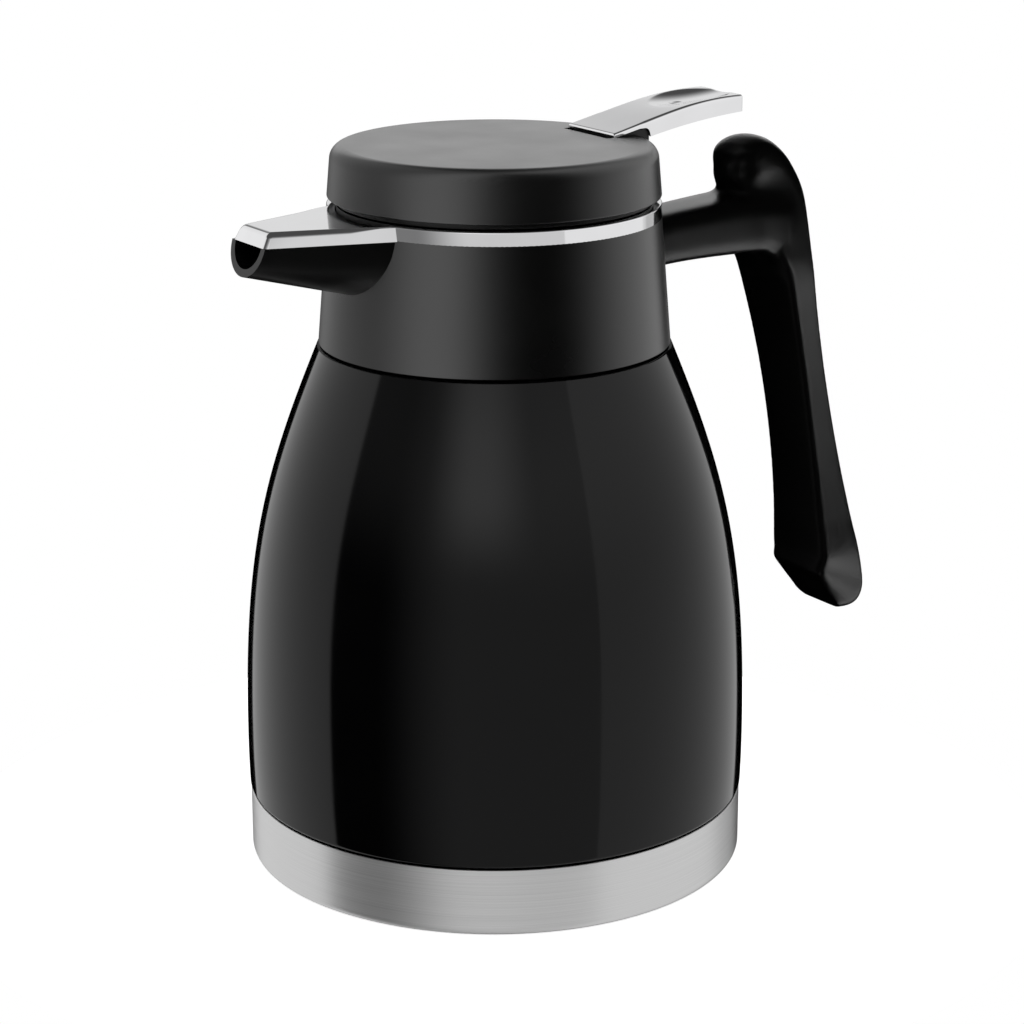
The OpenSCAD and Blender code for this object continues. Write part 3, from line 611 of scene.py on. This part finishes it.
def trim_plan(s, inset, lean):
    """Closed plan of the trim ring and the spout cover: most of a circle, then the sides and
    the nose of the cover with rounded corners. The inset moves the whole plan inwards, and
    lean, from 0 to 1, moves the cover's sides and nose in towards their upper edge."""
    radius = s.top_radius - inset
    flip = np.array([1, -1])
    root = np.array([-41.3 * MM, s.root_width / 2 + (0.6 - 0.4 * lean) * MM - inset])
    tip = np.array([-s.reach + inset + s.nose_rake * lean,
                    s.nose_width / 2 - 0.8 * MM * lean - inset])
    along = (tip - root) / np.linalg.norm(tip - root)
    lead = root @ along
    meet = root + along * (-lead + math.sqrt(lead**2 + radius**2 - root @ root))
    turn = math.atan2(meet[1], meet[0])
    round_r = max(s.nose_corner - inset / 2, 0.2 * MM)
    outward = np.array([along[1], -along[0]])
    edge_y = tip[1] + along[1] / along[0] * round_r
    centre = np.array([tip[0] + round_r, edge_y - round_r / outward[1]])
    corner = arc(centre, round_r, math.degrees(math.atan2(outward[1], outward[0])), 180, 10)
    side = np.linspace(meet, corner[0], 24, endpoint=False)
    ring_angle = np.linspace(-turn, turn, 221)
    ring = radius * np.stack([np.cos(ring_angle), np.sin(ring_angle)], -1)
    nose = np.linspace(corner[-1], corner[-1] * flip, 14)[1:-1]
    return path(ring[:-1], side, corner, nose, corner[::-1] * flip, (side[1:] * flip)[::-1])


class CARAFE_OT_trim(Operator):
    """Chrome ring and flat spout cover, one thin shell over the collar's rim"""
    bl_idname = "carafe.trim"
    bl_label = "Trim ring and spout cover"

    def execute(self, context):
        # The upper edge is a quarter circle of radius e: a point moves in by e (1 - cos a) and
        # lies e (1 - sin a) below the top, with e smaller round the ring than on the cover.
        s = context.scene.carafe_collar
        foot = low("trim_ring").z
        top = s.trim_top
        skin = 0.95 * MM
        inner_top = s.rim + 0.1 * MM
        cover_start, cover_fade = 46 * MM, 8 * MM
        upright, leaning = trim_plan(s, 0, 0), trim_plan(s, 0, 1)
        along = np.roll(upright, -1, axis=0) - np.roll(upright, 1, axis=0)
        inward = np.stack([-along[:, 1], along[:, 0]], -1)
        inward /= np.linalg.norm(inward, axis=1, keepdims=True)
        beyond = np.clip((-upright[:, :1] - cover_start) / cover_fade, 0, 1)
        edge = s.ring_edge + (s.cover_edge - s.ring_edge) * beyond
        rings = [np.insert(upright, 2, foot, axis=1)]
        for a in np.radians(np.arange(0, 91, 15)):
            z = top - edge * (1 - math.sin(a))
            share = (z - foot) / (top - foot)
            plan = upright + (leaning - upright) * share + inward * edge * (1 - math.cos(a))
            rings.append(np.hstack([plan, z]))
        hole_ring = s.hole * leaning / np.linalg.norm(leaning, axis=1, keepdims=True)
        rings += [np.insert(hole_ring, 2, z, axis=1) for z in (top, inner_top)]
        rings += [np.insert(trim_plan(s, skin, lean), 2, z, axis=1)
                  for z, lean in ((inner_top, 1.0), (foot, 0.0))]
        trim = surface("trim_ring_and_spout_cover", np.array(rings), rows_meet=True)
        dress(trim, "carafe", ["trim_ring"], finish_of("chrome", context),
              sharp=40)
        return {"FINISHED"}


def handle_rings(stations, count=160):
    """Closed sections between a front and a back point of the side view. Each station holds
    front x, front z, back x, back z, half width in front, half width behind and squareness."""
    front_x, front_z, back_x, back_z, half_front, half_back, power = (
        stations[:, i:i + 1] for i in range(7))
    across, wide = squircle(1, 1, power, count)
    share = (1 + across) / 2
    return np.stack([front_x + (back_x - front_x) * share,
                     wide * (half_front + (half_back - half_front) * share),
                     front_z + (back_z - front_z) * share], -1)


def grip_stations(s):
    """Sections of the grip from its slanted end to the arm, and over into the thumb knob."""
    back = s.reach / MM
    half = s.waist / MM / 2
    top = s.knob_top / MM
    tip = [[109.6, 62.2, back - 7, 50.6, 10.2, 10.2, 5],
           [108.6, 63.6, back - 3, 51.6, 11.6, 11.6, 7],
           [108.3, 65, back - 0.6, 54.4, 12.2, 12.2, 10],
           [108.8, 67.4, back, 59.5, 12.4, 12.4, 12.5]]
    z = np.arange(70, 159, 11)
    t, u, d = (165 - z) / 100, (165 - z) / 105, (z - 112) / 48
    front_x = 90.7 + 31 * t - 12.2 * t * t
    back_x = 101 + (back - 100.8) * (0.81 * u + 0.19 * u * u)
    width = half + 2.4 * d * d
    grip = np.stack([front_x, z, back_x, z, width, width, np.full(len(z), 13.0)], -1)
    knob = [[89.5, 164.5, 101.2, 165, 13.4, 13.4, 12],
            [87.5, 173, 99.9, 173.6, 11.6, 13.3, 10.5],
            [84.5, 179, 99, 180, 9.4, 13.1, 8.5],
            [80.8, 181.4, 98.2, 184.6, 8.2, 12.8, 6],
            [79.2, 183.6, 97, 188.6, 8.4, 12.3, 4.2],
            [78.4, 185.6, 95.2, top - 5.6, 9.2, 11.8, 3.2],
            [78, 187.4, 92.7, top - 2.4, 9.6, 11, 2.4],
            [77.9, 189.2, 89.2, top - 0.5, 9.4, 10.3, 2.3],
            [78, 190.8, 85.8, top - 0.5, 8.4, 8.8, 2.2],
            [78.4, 192.2, 82.2, top - 2.1, 6.4, 6.6, 2.1],
            [79, 193.2, 80.3, top - 3.6, 3.4, 3.4, 2]]
    stations = through(np.vstack([tip, grip, knob]), 8)
    stations[:, :6] *= MM
    return stations


def arm_rings(s, count=120):
    """Upright sections of the arm, which turn down into the grip's inner face at the end."""
    half = s.arm_width / MM / 2
    low_z, top_z = s.arm_low / MM, s.arm_top / MM
    turn = np.radians(np.arange(15, 84, 17))
    bend = np.stack([81 + 12 * np.sin(turn), low_z + 0.2 - 10 * (1 - np.cos(turn)),
                     np.full(5, top_z + 0.2), half + 2.2 + np.degrees(turn) / 75], -1)
    stations = np.vstack([[44, low_z - 1.2, top_z - 2.8, half - 0.3],
                          [60, low_z - 0.2, top_z - 1.3, half],
                          [76, low_z, top_z, half + 1.1], bend])
    x, low_edge, high_edge, wide = through(stations, 8).T[:, :, None] * MM
    y, z = squircle(wide, (high_edge - low_edge) / 2, 4.5, count)
    return np.stack([np.broadcast_to(x, y.shape), y, z + (low_edge + high_edge) / 2], -1)


class CARAFE_OT_handle(Operator):
    """Black moulded handle: arm, grip and thumb knob"""
    bl_idname = "carafe.handle"
    bl_label = "Handle"

    def execute(self, context):
        s = context.scene.carafe_handle
        c = context.scene.carafe_collar
        handle = surface("moulded_handle", handle_rings(grip_stations(s)), ends=True)
        combine(handle, surface("arm", arm_rings(s), ends=True), "UNION")
        blended(handle, voxel=0.5 * MM, centre=np.array([87, 0, 178]) * MM, reach=30 * MM,
                rounds=150, plain_rounds=4)
        seat, gap = c.rim - SEAT_DROP, 0.03 * MM
        collar = path([0, c.foot], [c.foot_radius + gap, c.foot], [c.top_radius + gap, seat],
                      [0, seat])
        combine(handle, revolved("collar_space", collar), "DIFFERENCE")
        dress(handle, "carafe", ["handle"], finish_of("handle", context),
              sharp=38)
        return {"FINISHED"}


class CARAFE_OT_lid(Operator):
    """Black lid cap with its rounded edges and the slot for the lever"""
    bl_idname = "carafe.lid"
    bl_label = "Lid cap"

    def execute(self, context):
        s = context.scene.carafe_lid
        foot_edge = 0.5 * MM
        upper_r = s.radius - 0.85 * MM
        edge_z = s.top - s.edge
        inner_edge = s.edge - 1.6 * MM
        inner_r = upper_r - s.wall - inner_edge
        outline = path(
            arc([s.radius - foot_edge, s.foot + foot_edge], foot_edge, -90, 0, 8),
            arc([upper_r - s.edge, edge_z], s.edge, 3, 90, 16),
            [0, s.top], [0, s.top - s.wall],
            arc([inner_r, s.top - s.wall - inner_edge], inner_edge, 90, 0, 6),
            [s.radius - s.wall, s.foot + 1 * MM], [s.radius - s.wall, s.foot])
        lid = revolved("lid_cap", outline, FINE_ROUND)
        outside, above = s.radius + 6 * MM, s.top + 5 * MM
        slot = path([s.slot_front, s.slot_floor], [outside, s.slot_floor], [outside, above],
                    [s.slot_front, above])
        combine(lid, slab("slot", slot, s.slot_half), "DIFFERENCE")
        dress(lid, "lid", ["lid_cover"], finish_of("lid", context))
        return {"FINISHED"}


def lever_solid(name, s, inset):
    """The lever's outer form, or its hollow when inset, which runs out through the front:
    sections across X whose height, width and lower edge are curves of x, with rounded upper
    edges and a thumb dish."""
    front, end = s.front - inset, s.end - inset
    end_low, end_high = 206.5 * MM, 211.2 * MM
    hinge_bump = arc([42.5 * MM, 203.1 * MM], 1.7 * MM, 90, 20, 8)
    skirt = path(
        [s.front + 0.2 * MM, 202.95 * MM], [40.6 * MM, 204.75 * MM], hinge_bump,
        cubic([44.5 * MM, 202.3 * MM], [56 * MM, 204.7 * MM], [66 * MM, 205.9 * MM],
              [s.end - 0.6 * MM, end_low], 20), [s.end, end_low])
    crest = cubic([s.front, 204.05 * MM], [50 * MM, 208.2 * MM], [60 * MM, 211.5 * MM],
                  [s.end, end_high], 80)
    end_r, front_r = 0.8 * MM, 0.6 * MM
    quarter = np.linspace(0, np.pi / 2, 8)
    x = np.unique(np.round(np.concatenate([
        front + front_r * (1 - np.cos(quarter)), np.linspace(front + front_r, end - end_r, 150),
        skirt[2:12, 0], end - end_r * (1 - np.sin(quarter))]), 6))
    x = x[(x >= front) & (x <= end)]
    past = np.clip(x - (end - end_r), 0, end_r)
    drawn_in = end_r - np.sqrt(end_r**2 - past**2)
    before = np.clip(front_r - (x - s.front), 0, front_r) * (inset == 0)
    dropped = front_r - np.sqrt(front_r**2 - before**2)
    share = (x - s.front) / (s.end - s.front)
    half = (s.front_width + (s.end_width - s.front_width) * share) / 2 - inset - drawn_in
    top = np.interp(x, crest[:, 0], crest[:, 1]) - inset - drawn_in * 0.4 - dropped
    bottom = np.interp(x, skirt[:, 0], skirt[:, 1])
    if inset:
        below_all = 195 * MM
        bottom = np.full_like(bottom, below_all)
    edge = np.minimum(max(s.edge - inset / 2, 0.1 * MM), 0.45 * (top - bottom))[:, None]
    rows, turns, flats = 6, 6, 59
    side = np.linspace(0, 1, rows)[None, :]
    turn = np.linspace(0, np.pi / 2, turns + 1)[None, 1:]
    flat = np.linspace(-1, 1, flats + 2)[None, 1:-1]
    h, t, b = half[:, None], top[:, None], bottom[:, None]
    y = np.hstack([np.repeat(-h, rows, 1), -h + edge * (1 - np.cos(turn)), (h - edge) * flat])
    z = np.hstack([b + (t - edge - b) * side, t - edge * (1 - np.sin(turn)),
                   np.repeat(t, flats, 1)])
    y = np.hstack([y, -y[:, rows + turns - 1::-1]])
    z = np.hstack([z, z[:, rows + turns - 1::-1]])
    place = np.repeat(x[:, None], y.shape[1], 1)

    # The dish is an ellipse of depth 1 - (x / a)^2 - (y / b)^2 whose rim is rounded off, and
    # the small hollow in it is another one with a plain rim.
    dish_a, dish_b, rim_softness, rim_end = 12.5 * MM, 9.4 * MM, 0.004, -0.3
    spot_x, spot_a, spot_b, spot_depth = s.dish - 4.4 * MM, 1.9 * MM, 1.5 * MM, 0.2 * MM
    fall = 1 - ((place - s.dish) / dish_a) ** 2 - (y / dish_b) ** 2
    bowl = (fall + np.sqrt(fall**2 + rim_softness)) / 2
    spot = np.clip(1 - ((place - spot_x) / spot_a) ** 2 - (y / spot_b) ** 2, 0, 1)
    lies_on_top = z > (t - 0.02 * MM)
    z = z - lies_on_top * (s.dish_depth * bowl * (fall > rim_end) + spot_depth * spot)
    return surface(name, np.stack([place, y, z], -1), ends=True)


class CARAFE_OT_lever(Operator):
    """Chrome shell of the thumb lever with its dish"""
    bl_idname = "carafe.lever"
    bl_label = "Lever shell"

    def execute(self, context):
        s = context.scene.carafe_lever
        lever = lever_solid("chrome_lever", s, 0)
        combine(lever, lever_solid("hollow", s, s.shell), "DIFFERENCE")
        dress(lever, "lever", ["lever_cover"], finish_of("chrome", context),
              sharp=40)
        return {"FINISHED"}


class CARAFE_OT_spring(Operator):
    """Coil spring that shuts the valve: a round wire along a helix of even turns"""
    bl_idname = "carafe.spring"
    bl_label = "Valve spring"

    def execute(self, context):
        lowest, highest = low("valve_spring"), high("valve_spring")
        wire = 0.45 * MM
        radius = 7.5 * MM
        turns = 6
        angle = np.linspace(0, 2 * np.pi * turns, 48 * turns + 1)
        share = np.linspace(0, 1, len(angle))
        height = lowest.z + wire + (highest.z - lowest.z - 2 * wire) * share
        out = np.stack([np.cos(angle), np.sin(angle), np.zeros_like(angle)], -1)
        centre = radius * out
        centre[:, 2] = height
        section = np.linspace(0, 2 * np.pi, 10, endpoint=False)[None, :, None]
        points = (centre[:, None, :] + wire * np.cos(section) * out[:, None, :]
                  + wire * np.sin(section) * np.array([0, 0, 1]))
        spring = surface("coil_spring", points, ends=True)
        dress(spring, "lid", ["valve_spring"], finish_of("fastener", context))
        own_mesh(spring)
        return {"FINISHED"}


class CARAFE_OT_inner_parts(Operator):
    """Finishes of the parts that keep the frame's own shape"""
    bl_idname = "carafe.inner_parts"
    bl_label = "Inner parts"

    finishes = {
        "base_foot": "rubber", "bottom_plate": "flask", "evacuation_plug": "fastener",
        "getter_capsule": "flask", "flask_floor": "flask", "inner_flask": "flask",
        "flask_neck": "flask", "neck_gasket": "silicone", "pouring_sleeve": "collar",
        "handle_screws": "fastener", "stopper_body": "stopper", "stopper_base": "stopper",
        "stopper_gasket": "silicone", "upper_gasket": "silicone", "lid_screws": "fastener",
        "hinge_pin": "fastener", "lever_core": "lever_block", "valve_plunger": "stopper",
        "valve_seal": "silicone", "stem_cap": "stopper",
    }

    def execute(self, context):
        for node, finish in self.finishes.items():
            for slot in frame["nodes"][node].material_slots:
                slot.material = finish_of(finish, context)
        return {"FINISHED"}


# Stage

CAMERA_PLACE = (-0.4219, -0.66335, 0.33107)
CAMERA_TURN = math.radians(32.81)      # about Z, from +Y towards +X
CAMERA_TILT = math.radians(16.49)      # below the horizon
LENS = 102.25                          # millimetres on a 36 mm sensor
TOWARDS_CAMERA = math.degrees(math.atan2(CAMERA_PLACE[1], CAMERA_PLACE[0]))


def camera():
    """Camera at the photograph's angle."""
    data = bpy.data.cameras.new("camera")
    data.lens = LENS
    data.clip_start, data.clip_end = 0.01, 20
    view = bpy.data.objects.new("camera", data)
    bpy.context.scene.collection.objects.link(view)
    view.location = CAMERA_PLACE
    view.rotation_euler = (math.pi / 2 - CAMERA_TILT, 0, -CAMERA_TURN)
    bpy.context.scene.camera = view


def number(tree, operation, *values):
    """One step of arithmetic. A value is a plain number or another node's output."""
    return node(tree, "Math", dict(enumerate(values)), operation=operation).outputs[0]


def seen_directly(tree):
    """1 on rays from the camera, a mirror or through glass, else 0."""
    rays = node(tree, "LightPath").outputs
    mirrored = number(tree, "MAXIMUM", rays["Is Camera Ray"], rays["Is Glossy Ray"])
    return number(tree, "MAXIMUM", mirrored, rays["Is Transmission Ray"])


def glowing(name):
    """Material without nodes as yet, and its tree, for a piece of the stage that glows."""
    material = bpy.data.materials.new(name)
    material.use_nodes = True
    material.node_tree.nodes.clear()
    return material, material.node_tree


def add_glow(tree, strength, under):
    """Gives the material its surface: a glow of that strength added to the shader under it."""
    glow = node(tree, "Emission", {"Strength": strength})
    both = node(tree, "AddShader", {0: glow.outputs[0], 1: under.outputs[0]})
    node(tree, "OutputMaterial", {"Surface": both.outputs[0]})


def world(level):
    """White all round for the eye, and an even soft light for the rest. What the gloss
    mirrors is the panels, so the world adds nothing there."""
    made = bpy.data.worlds.new("studio")
    bpy.context.scene.world = made
    made.use_nodes = True
    tree = made.node_tree
    rays = node(tree, "LightPath").outputs
    strength = node(tree, "Mix", {"Factor": rays["Is Camera Ray"], "A": level, "B": 1})
    plain = number(tree, "SUBTRACT", 1, rays["Is Glossy Ray"])
    background = tree.nodes["Background"]
    background.inputs["Color"].default_value = (1, 1, 1, 1)
    tree.links.new(number(tree, "MULTIPLY", strength.outputs["Result"], plain),
                   background.inputs["Strength"])


def floor(tint):
    """Round pale floor. It glows a little for the eye, less under the carafe, so that it
    runs out into the white of the background and still keeps the soft shadow."""
    radius, glow_near, glow_far = 0.16, 0.06, 0.13
    least_glow = 0.62
    angle = np.linspace(0, 2 * np.pi, 128, endpoint=False)
    rings = [np.stack([r * np.cos(angle), r * np.sin(angle), np.zeros_like(angle)], -1)
             for r in (1 * MM, radius / 2, radius)]
    disc = surface("floor", np.array(rings))
    disc.data.flip_normals()
    material, tree = glowing("pale_floor")
    place = node(tree, "TexCoord").outputs["Object"]
    far = node(tree, "VectorMath", {0: place}, operation="LENGTH").outputs["Value"]
    fade = node(tree, "MapRange", {"Value": far, "From Min": glow_near, "From Max": glow_far,
                                   "To Min": least_glow, "To Max": 1}).outputs["Result"]
    matte = node(tree, "BsdfDiffuse", {"Color": (*tint, 1)})
    add_glow(tree, number(tree, "MULTIPLY", fade, seen_directly(tree)), matte)
    disc.data.materials.append(material)
    disc.visible_glossy = False


# Tents of light panels that gloss mirrors: the finishes that see the tent, and its panels.
# Each panel runs from dark to full and back to dark again, in degrees round the carafe from
# the camera's side and in degrees above the horizon, and then has its level.
ALL_HEIGHTS = (-100, -95, 95, 100)
ALL_ROUND = (-400, -399, 399, 400)
METALS = ("chrome", "base", "flask", "fastener")
SATINS = ("collar", "lid", "lever_block", "stopper", "silicone", "rubber")
TENTS = {
    "paint_panels": (("paint",), [
        ((-152, -150, -80.5, -78.5), (-100, -95, 36, 44), 0.95),
        ((-56, -12, 48, 48.6), (-100, -95, 20, 60), 0.6),
        ((48, 48.6, 148, 151), (-100, -95, 30, 60), 0.95),
        ((-38, -10, -6, 24), (6, 22, 26, 42), 1.0),
        (ALL_ROUND, (0, 24, 95, 100), 0.28),
    ]),
    "metal_panels": (METALS, [
        ((-152, -150, -82.5, -80.5), (-100, -95, 36, 44), 0.65),
        ((-55, -15, 48, 48.6), (-100, -95, 20, 60), 0.45),
        ((48, 48.6, 120, 128), (-100, -95, 30, 60), 0.65),
        ((122, 126, 146, 150), (-100, -95, 30, 60), 0.3),
        ((-38, -10, -6, 24), (6, 22, 26, 42), 1.0),
        ((160, 168, 192, 200), (0, 8, 18, 38), 0.7),
        ((-168, -160, 146, 152), (-100, -95, 22, 44), 0.2),
        (ALL_ROUND, (-10, 10, 95, 100), 0.07),
    ]),
    "satin_panels": (SATINS, [
        ((-85, -42, -36, 16), ALL_HEIGHTS, 1.35),
        ((-172, -140, -32, 0), ALL_HEIGHTS, 0.7),
        ((44, 100, 120, 180), ALL_HEIGHTS, 1.3),
        ((150, 165, 195, 210), (0, 8, 24, 44), 1.2),
    ]),
    "handle_panels": (("handle",), [
        ((30, 62, 84, 120), (-100, -95, -26, -6), 1.6),
        ((150, 165, 195, 210), (0, 8, 20, 34), 1.1),
    ]),
}
FIRST_TENT = 7             # radius in metres; each further tent is a metre wider


def soft_step(tree, value, start, end):
    """0 before start and 1 past end, with an S curve between."""
    step = node(tree, "MapRange", {"Value": value, "From Min": start, "From Max": end},
                interpolation_type="SMOOTHSTEP")
    return step.outputs["Result"]


def soft_band(tree, value, dark, full, full_end, dark_end):
    """1 between full and full_end, falling to 0 at dark and at dark_end."""
    rise = soft_step(tree, value, math.radians(dark), math.radians(full))
    fall = soft_step(tree, value, math.radians(full_end), math.radians(dark_end))
    return number(tree, "MULTIPLY", rise, number(tree, "SUBTRACT", 1, fall))


def tent(name, radius, panels, pieces):
    """Sphere of light panels round the carafe, which only the gloss of its pieces mirrors:
    x = r cos b cos a, y = r cos b sin a, z = r sin b. The level at an angle a round and b up
    is the sum of the panels there."""
    rise = np.radians(np.linspace(-90, 90, 49))[:, None]
    turn = np.linspace(0, 2 * np.pi, 96, endpoint=False)[None, :]
    x, y = np.cos(rise) * np.cos(turn), np.cos(rise) * np.sin(turn)
    points = radius * np.stack([x, y, np.broadcast_to(np.sin(rise), x.shape)], -1)
    ball = surface(name, points)
    ball.visible_camera = False
    ball.visible_diffuse = False
    ball.visible_transmission = False
    ball.visible_shadow = False
    material, tree = glowing(name)
    material.cycles.emission_sampling = "NONE"
    place = node(tree, "TexCoord").outputs["Object"]
    axes = node(tree, "SeparateXYZ", {0: place}).outputs
    round_angle = number(tree, "ARCTAN2", axes["Y"], axes["X"])
    height = number(tree, "ARCSINE", number(tree, "DIVIDE", axes["Z"], radius))
    total = 0.0
    for around, above, level in panels:
        middle = (around[0] + around[3]) / 2
        turned = number(tree, "SUBTRACT", round_angle, math.radians(TOWARDS_CAMERA + middle))
        wrapped = number(tree, "WRAP", turned, -math.pi, math.pi)
        share = number(tree, "MULTIPLY",
                       soft_band(tree, wrapped, *(edge - middle for edge in around)),
                       soft_band(tree, height, *above))
        total = number(tree, "MULTIPLY_ADD", share, level, total)
    add_glow(tree, total, node(tree, "BsdfTransparent"))
    ball.data.materials.append(material)
    seen_by = bpy.data.collections.new(name)
    for piece in pieces:
        seen_by.objects.link(piece)
    ball.light_linking.receiver_collection = seen_by


def pieces_finished(finishes):
    """The pieces and nodes that wear one of the finishes."""
    made = {FINISHES[name] for name in finishes}
    return [o for o in bpy.data.objects if o.type == "MESH"
            and any(slot.material in made for slot in o.material_slots)]


def front_light(radiance):
    """Soft lamp above the camera that faces the carafe. A lamp of area A and radiance L
    gives pi A L watts."""
    width, height, distance = 0.5, 0.3, 1.1
    turn, rise = math.radians(TOWARDS_CAMERA - 3), math.radians(38)
    aim = np.array([0, 0, 0.12])
    back = np.array([math.cos(turn) * math.cos(rise), math.sin(turn) * math.cos(rise),
                     math.sin(rise)])
    data = bpy.data.lights.new("front_light", "AREA")
    data.shape = "RECTANGLE"
    data.size, data.size_y = width, height
    data.energy = math.pi * width * height * radiance
    lamp = bpy.data.objects.new("front_light", data)
    bpy.context.scene.collection.objects.link(lamp)
    lamp.location = aim + distance * back
    lamp.rotation_euler = (math.pi / 2 - rise, 0, turn + math.pi / 2)
    lamp.visible_camera = False
    lamp.visible_glossy = False


class CARAFE_OT_stage(Operator):
    """Floor, light and camera"""
    bl_idname = "carafe.stage"
    bl_label = "Stage"

    def execute(self, context):
        s = context.scene.carafe_studio
        context.scene.view_settings.view_transform = "Standard"
        camera()
        world(s.world)
        floor(s.floor)
        for wider, (name, (finishes, panels)) in enumerate(TENTS.items()):
            tent(name, FIRST_TENT + wider, panels, pieces_finished(finishes))
        front_light(s.key)
        return {"FINISHED"}


class CARAFE_PT_panel(Panel):
    """Lists the carafe's pieces and settings"""
    bl_idname = "CARAFE_PT_panel"
    bl_label = "Vacuum carafe"
    bl_space_type = "VIEW_3D"
    bl_region_type = "UI"
    bl_category = "Carafe"

    def draw(self, context):
        column = self.layout.column()
        for operator in OPERATORS:
            column.operator(operator.bl_idname)
        for name, group in GROUPS.items():
            box = self.layout.box()
            box.label(text=group.__name__)
            for key in group.__annotations__:
                box.prop(getattr(context.scene, name), key)


GROUPS = {
    "carafe_body": BodySizes, "carafe_collar": CollarSizes, "carafe_handle": HandleSizes,
    "carafe_lid": LidSizes, "carafe_lever": LeverSizes, "carafe_colours": Colours,
    "carafe_studio": StudioSettings,
}
OPERATORS = [CARAFE_OT_body, CARAFE_OT_base, CARAFE_OT_collar, CARAFE_OT_trim,
             CARAFE_OT_handle, CARAFE_OT_lid, CARAFE_OT_lever, CARAFE_OT_spring,
             CARAFE_OT_inner_parts, CARAFE_OT_stage]


def register():
    for item in (*GROUPS.values(), *OPERATORS, CARAFE_PT_panel):
        bpy.utils.register_class(item)
    for name, group in GROUPS.items():
        setattr(bpy.types.Scene, name, PointerProperty(type=group))


def unregister():
    for name in GROUPS:
        delattr(bpy.types.Scene, name)
    for item in reversed((*GROUPS.values(), *OPERATORS, CARAFE_PT_panel)):
        bpy.utils.unregister_class(item)


def main():
    """Makes every piece and the stage."""
    register()
    for operator in OPERATORS:
        group, name = operator.bl_idname.split(".")
        getattr(getattr(bpy.ops, group), name)()


if __name__ == "__main__":
    main()
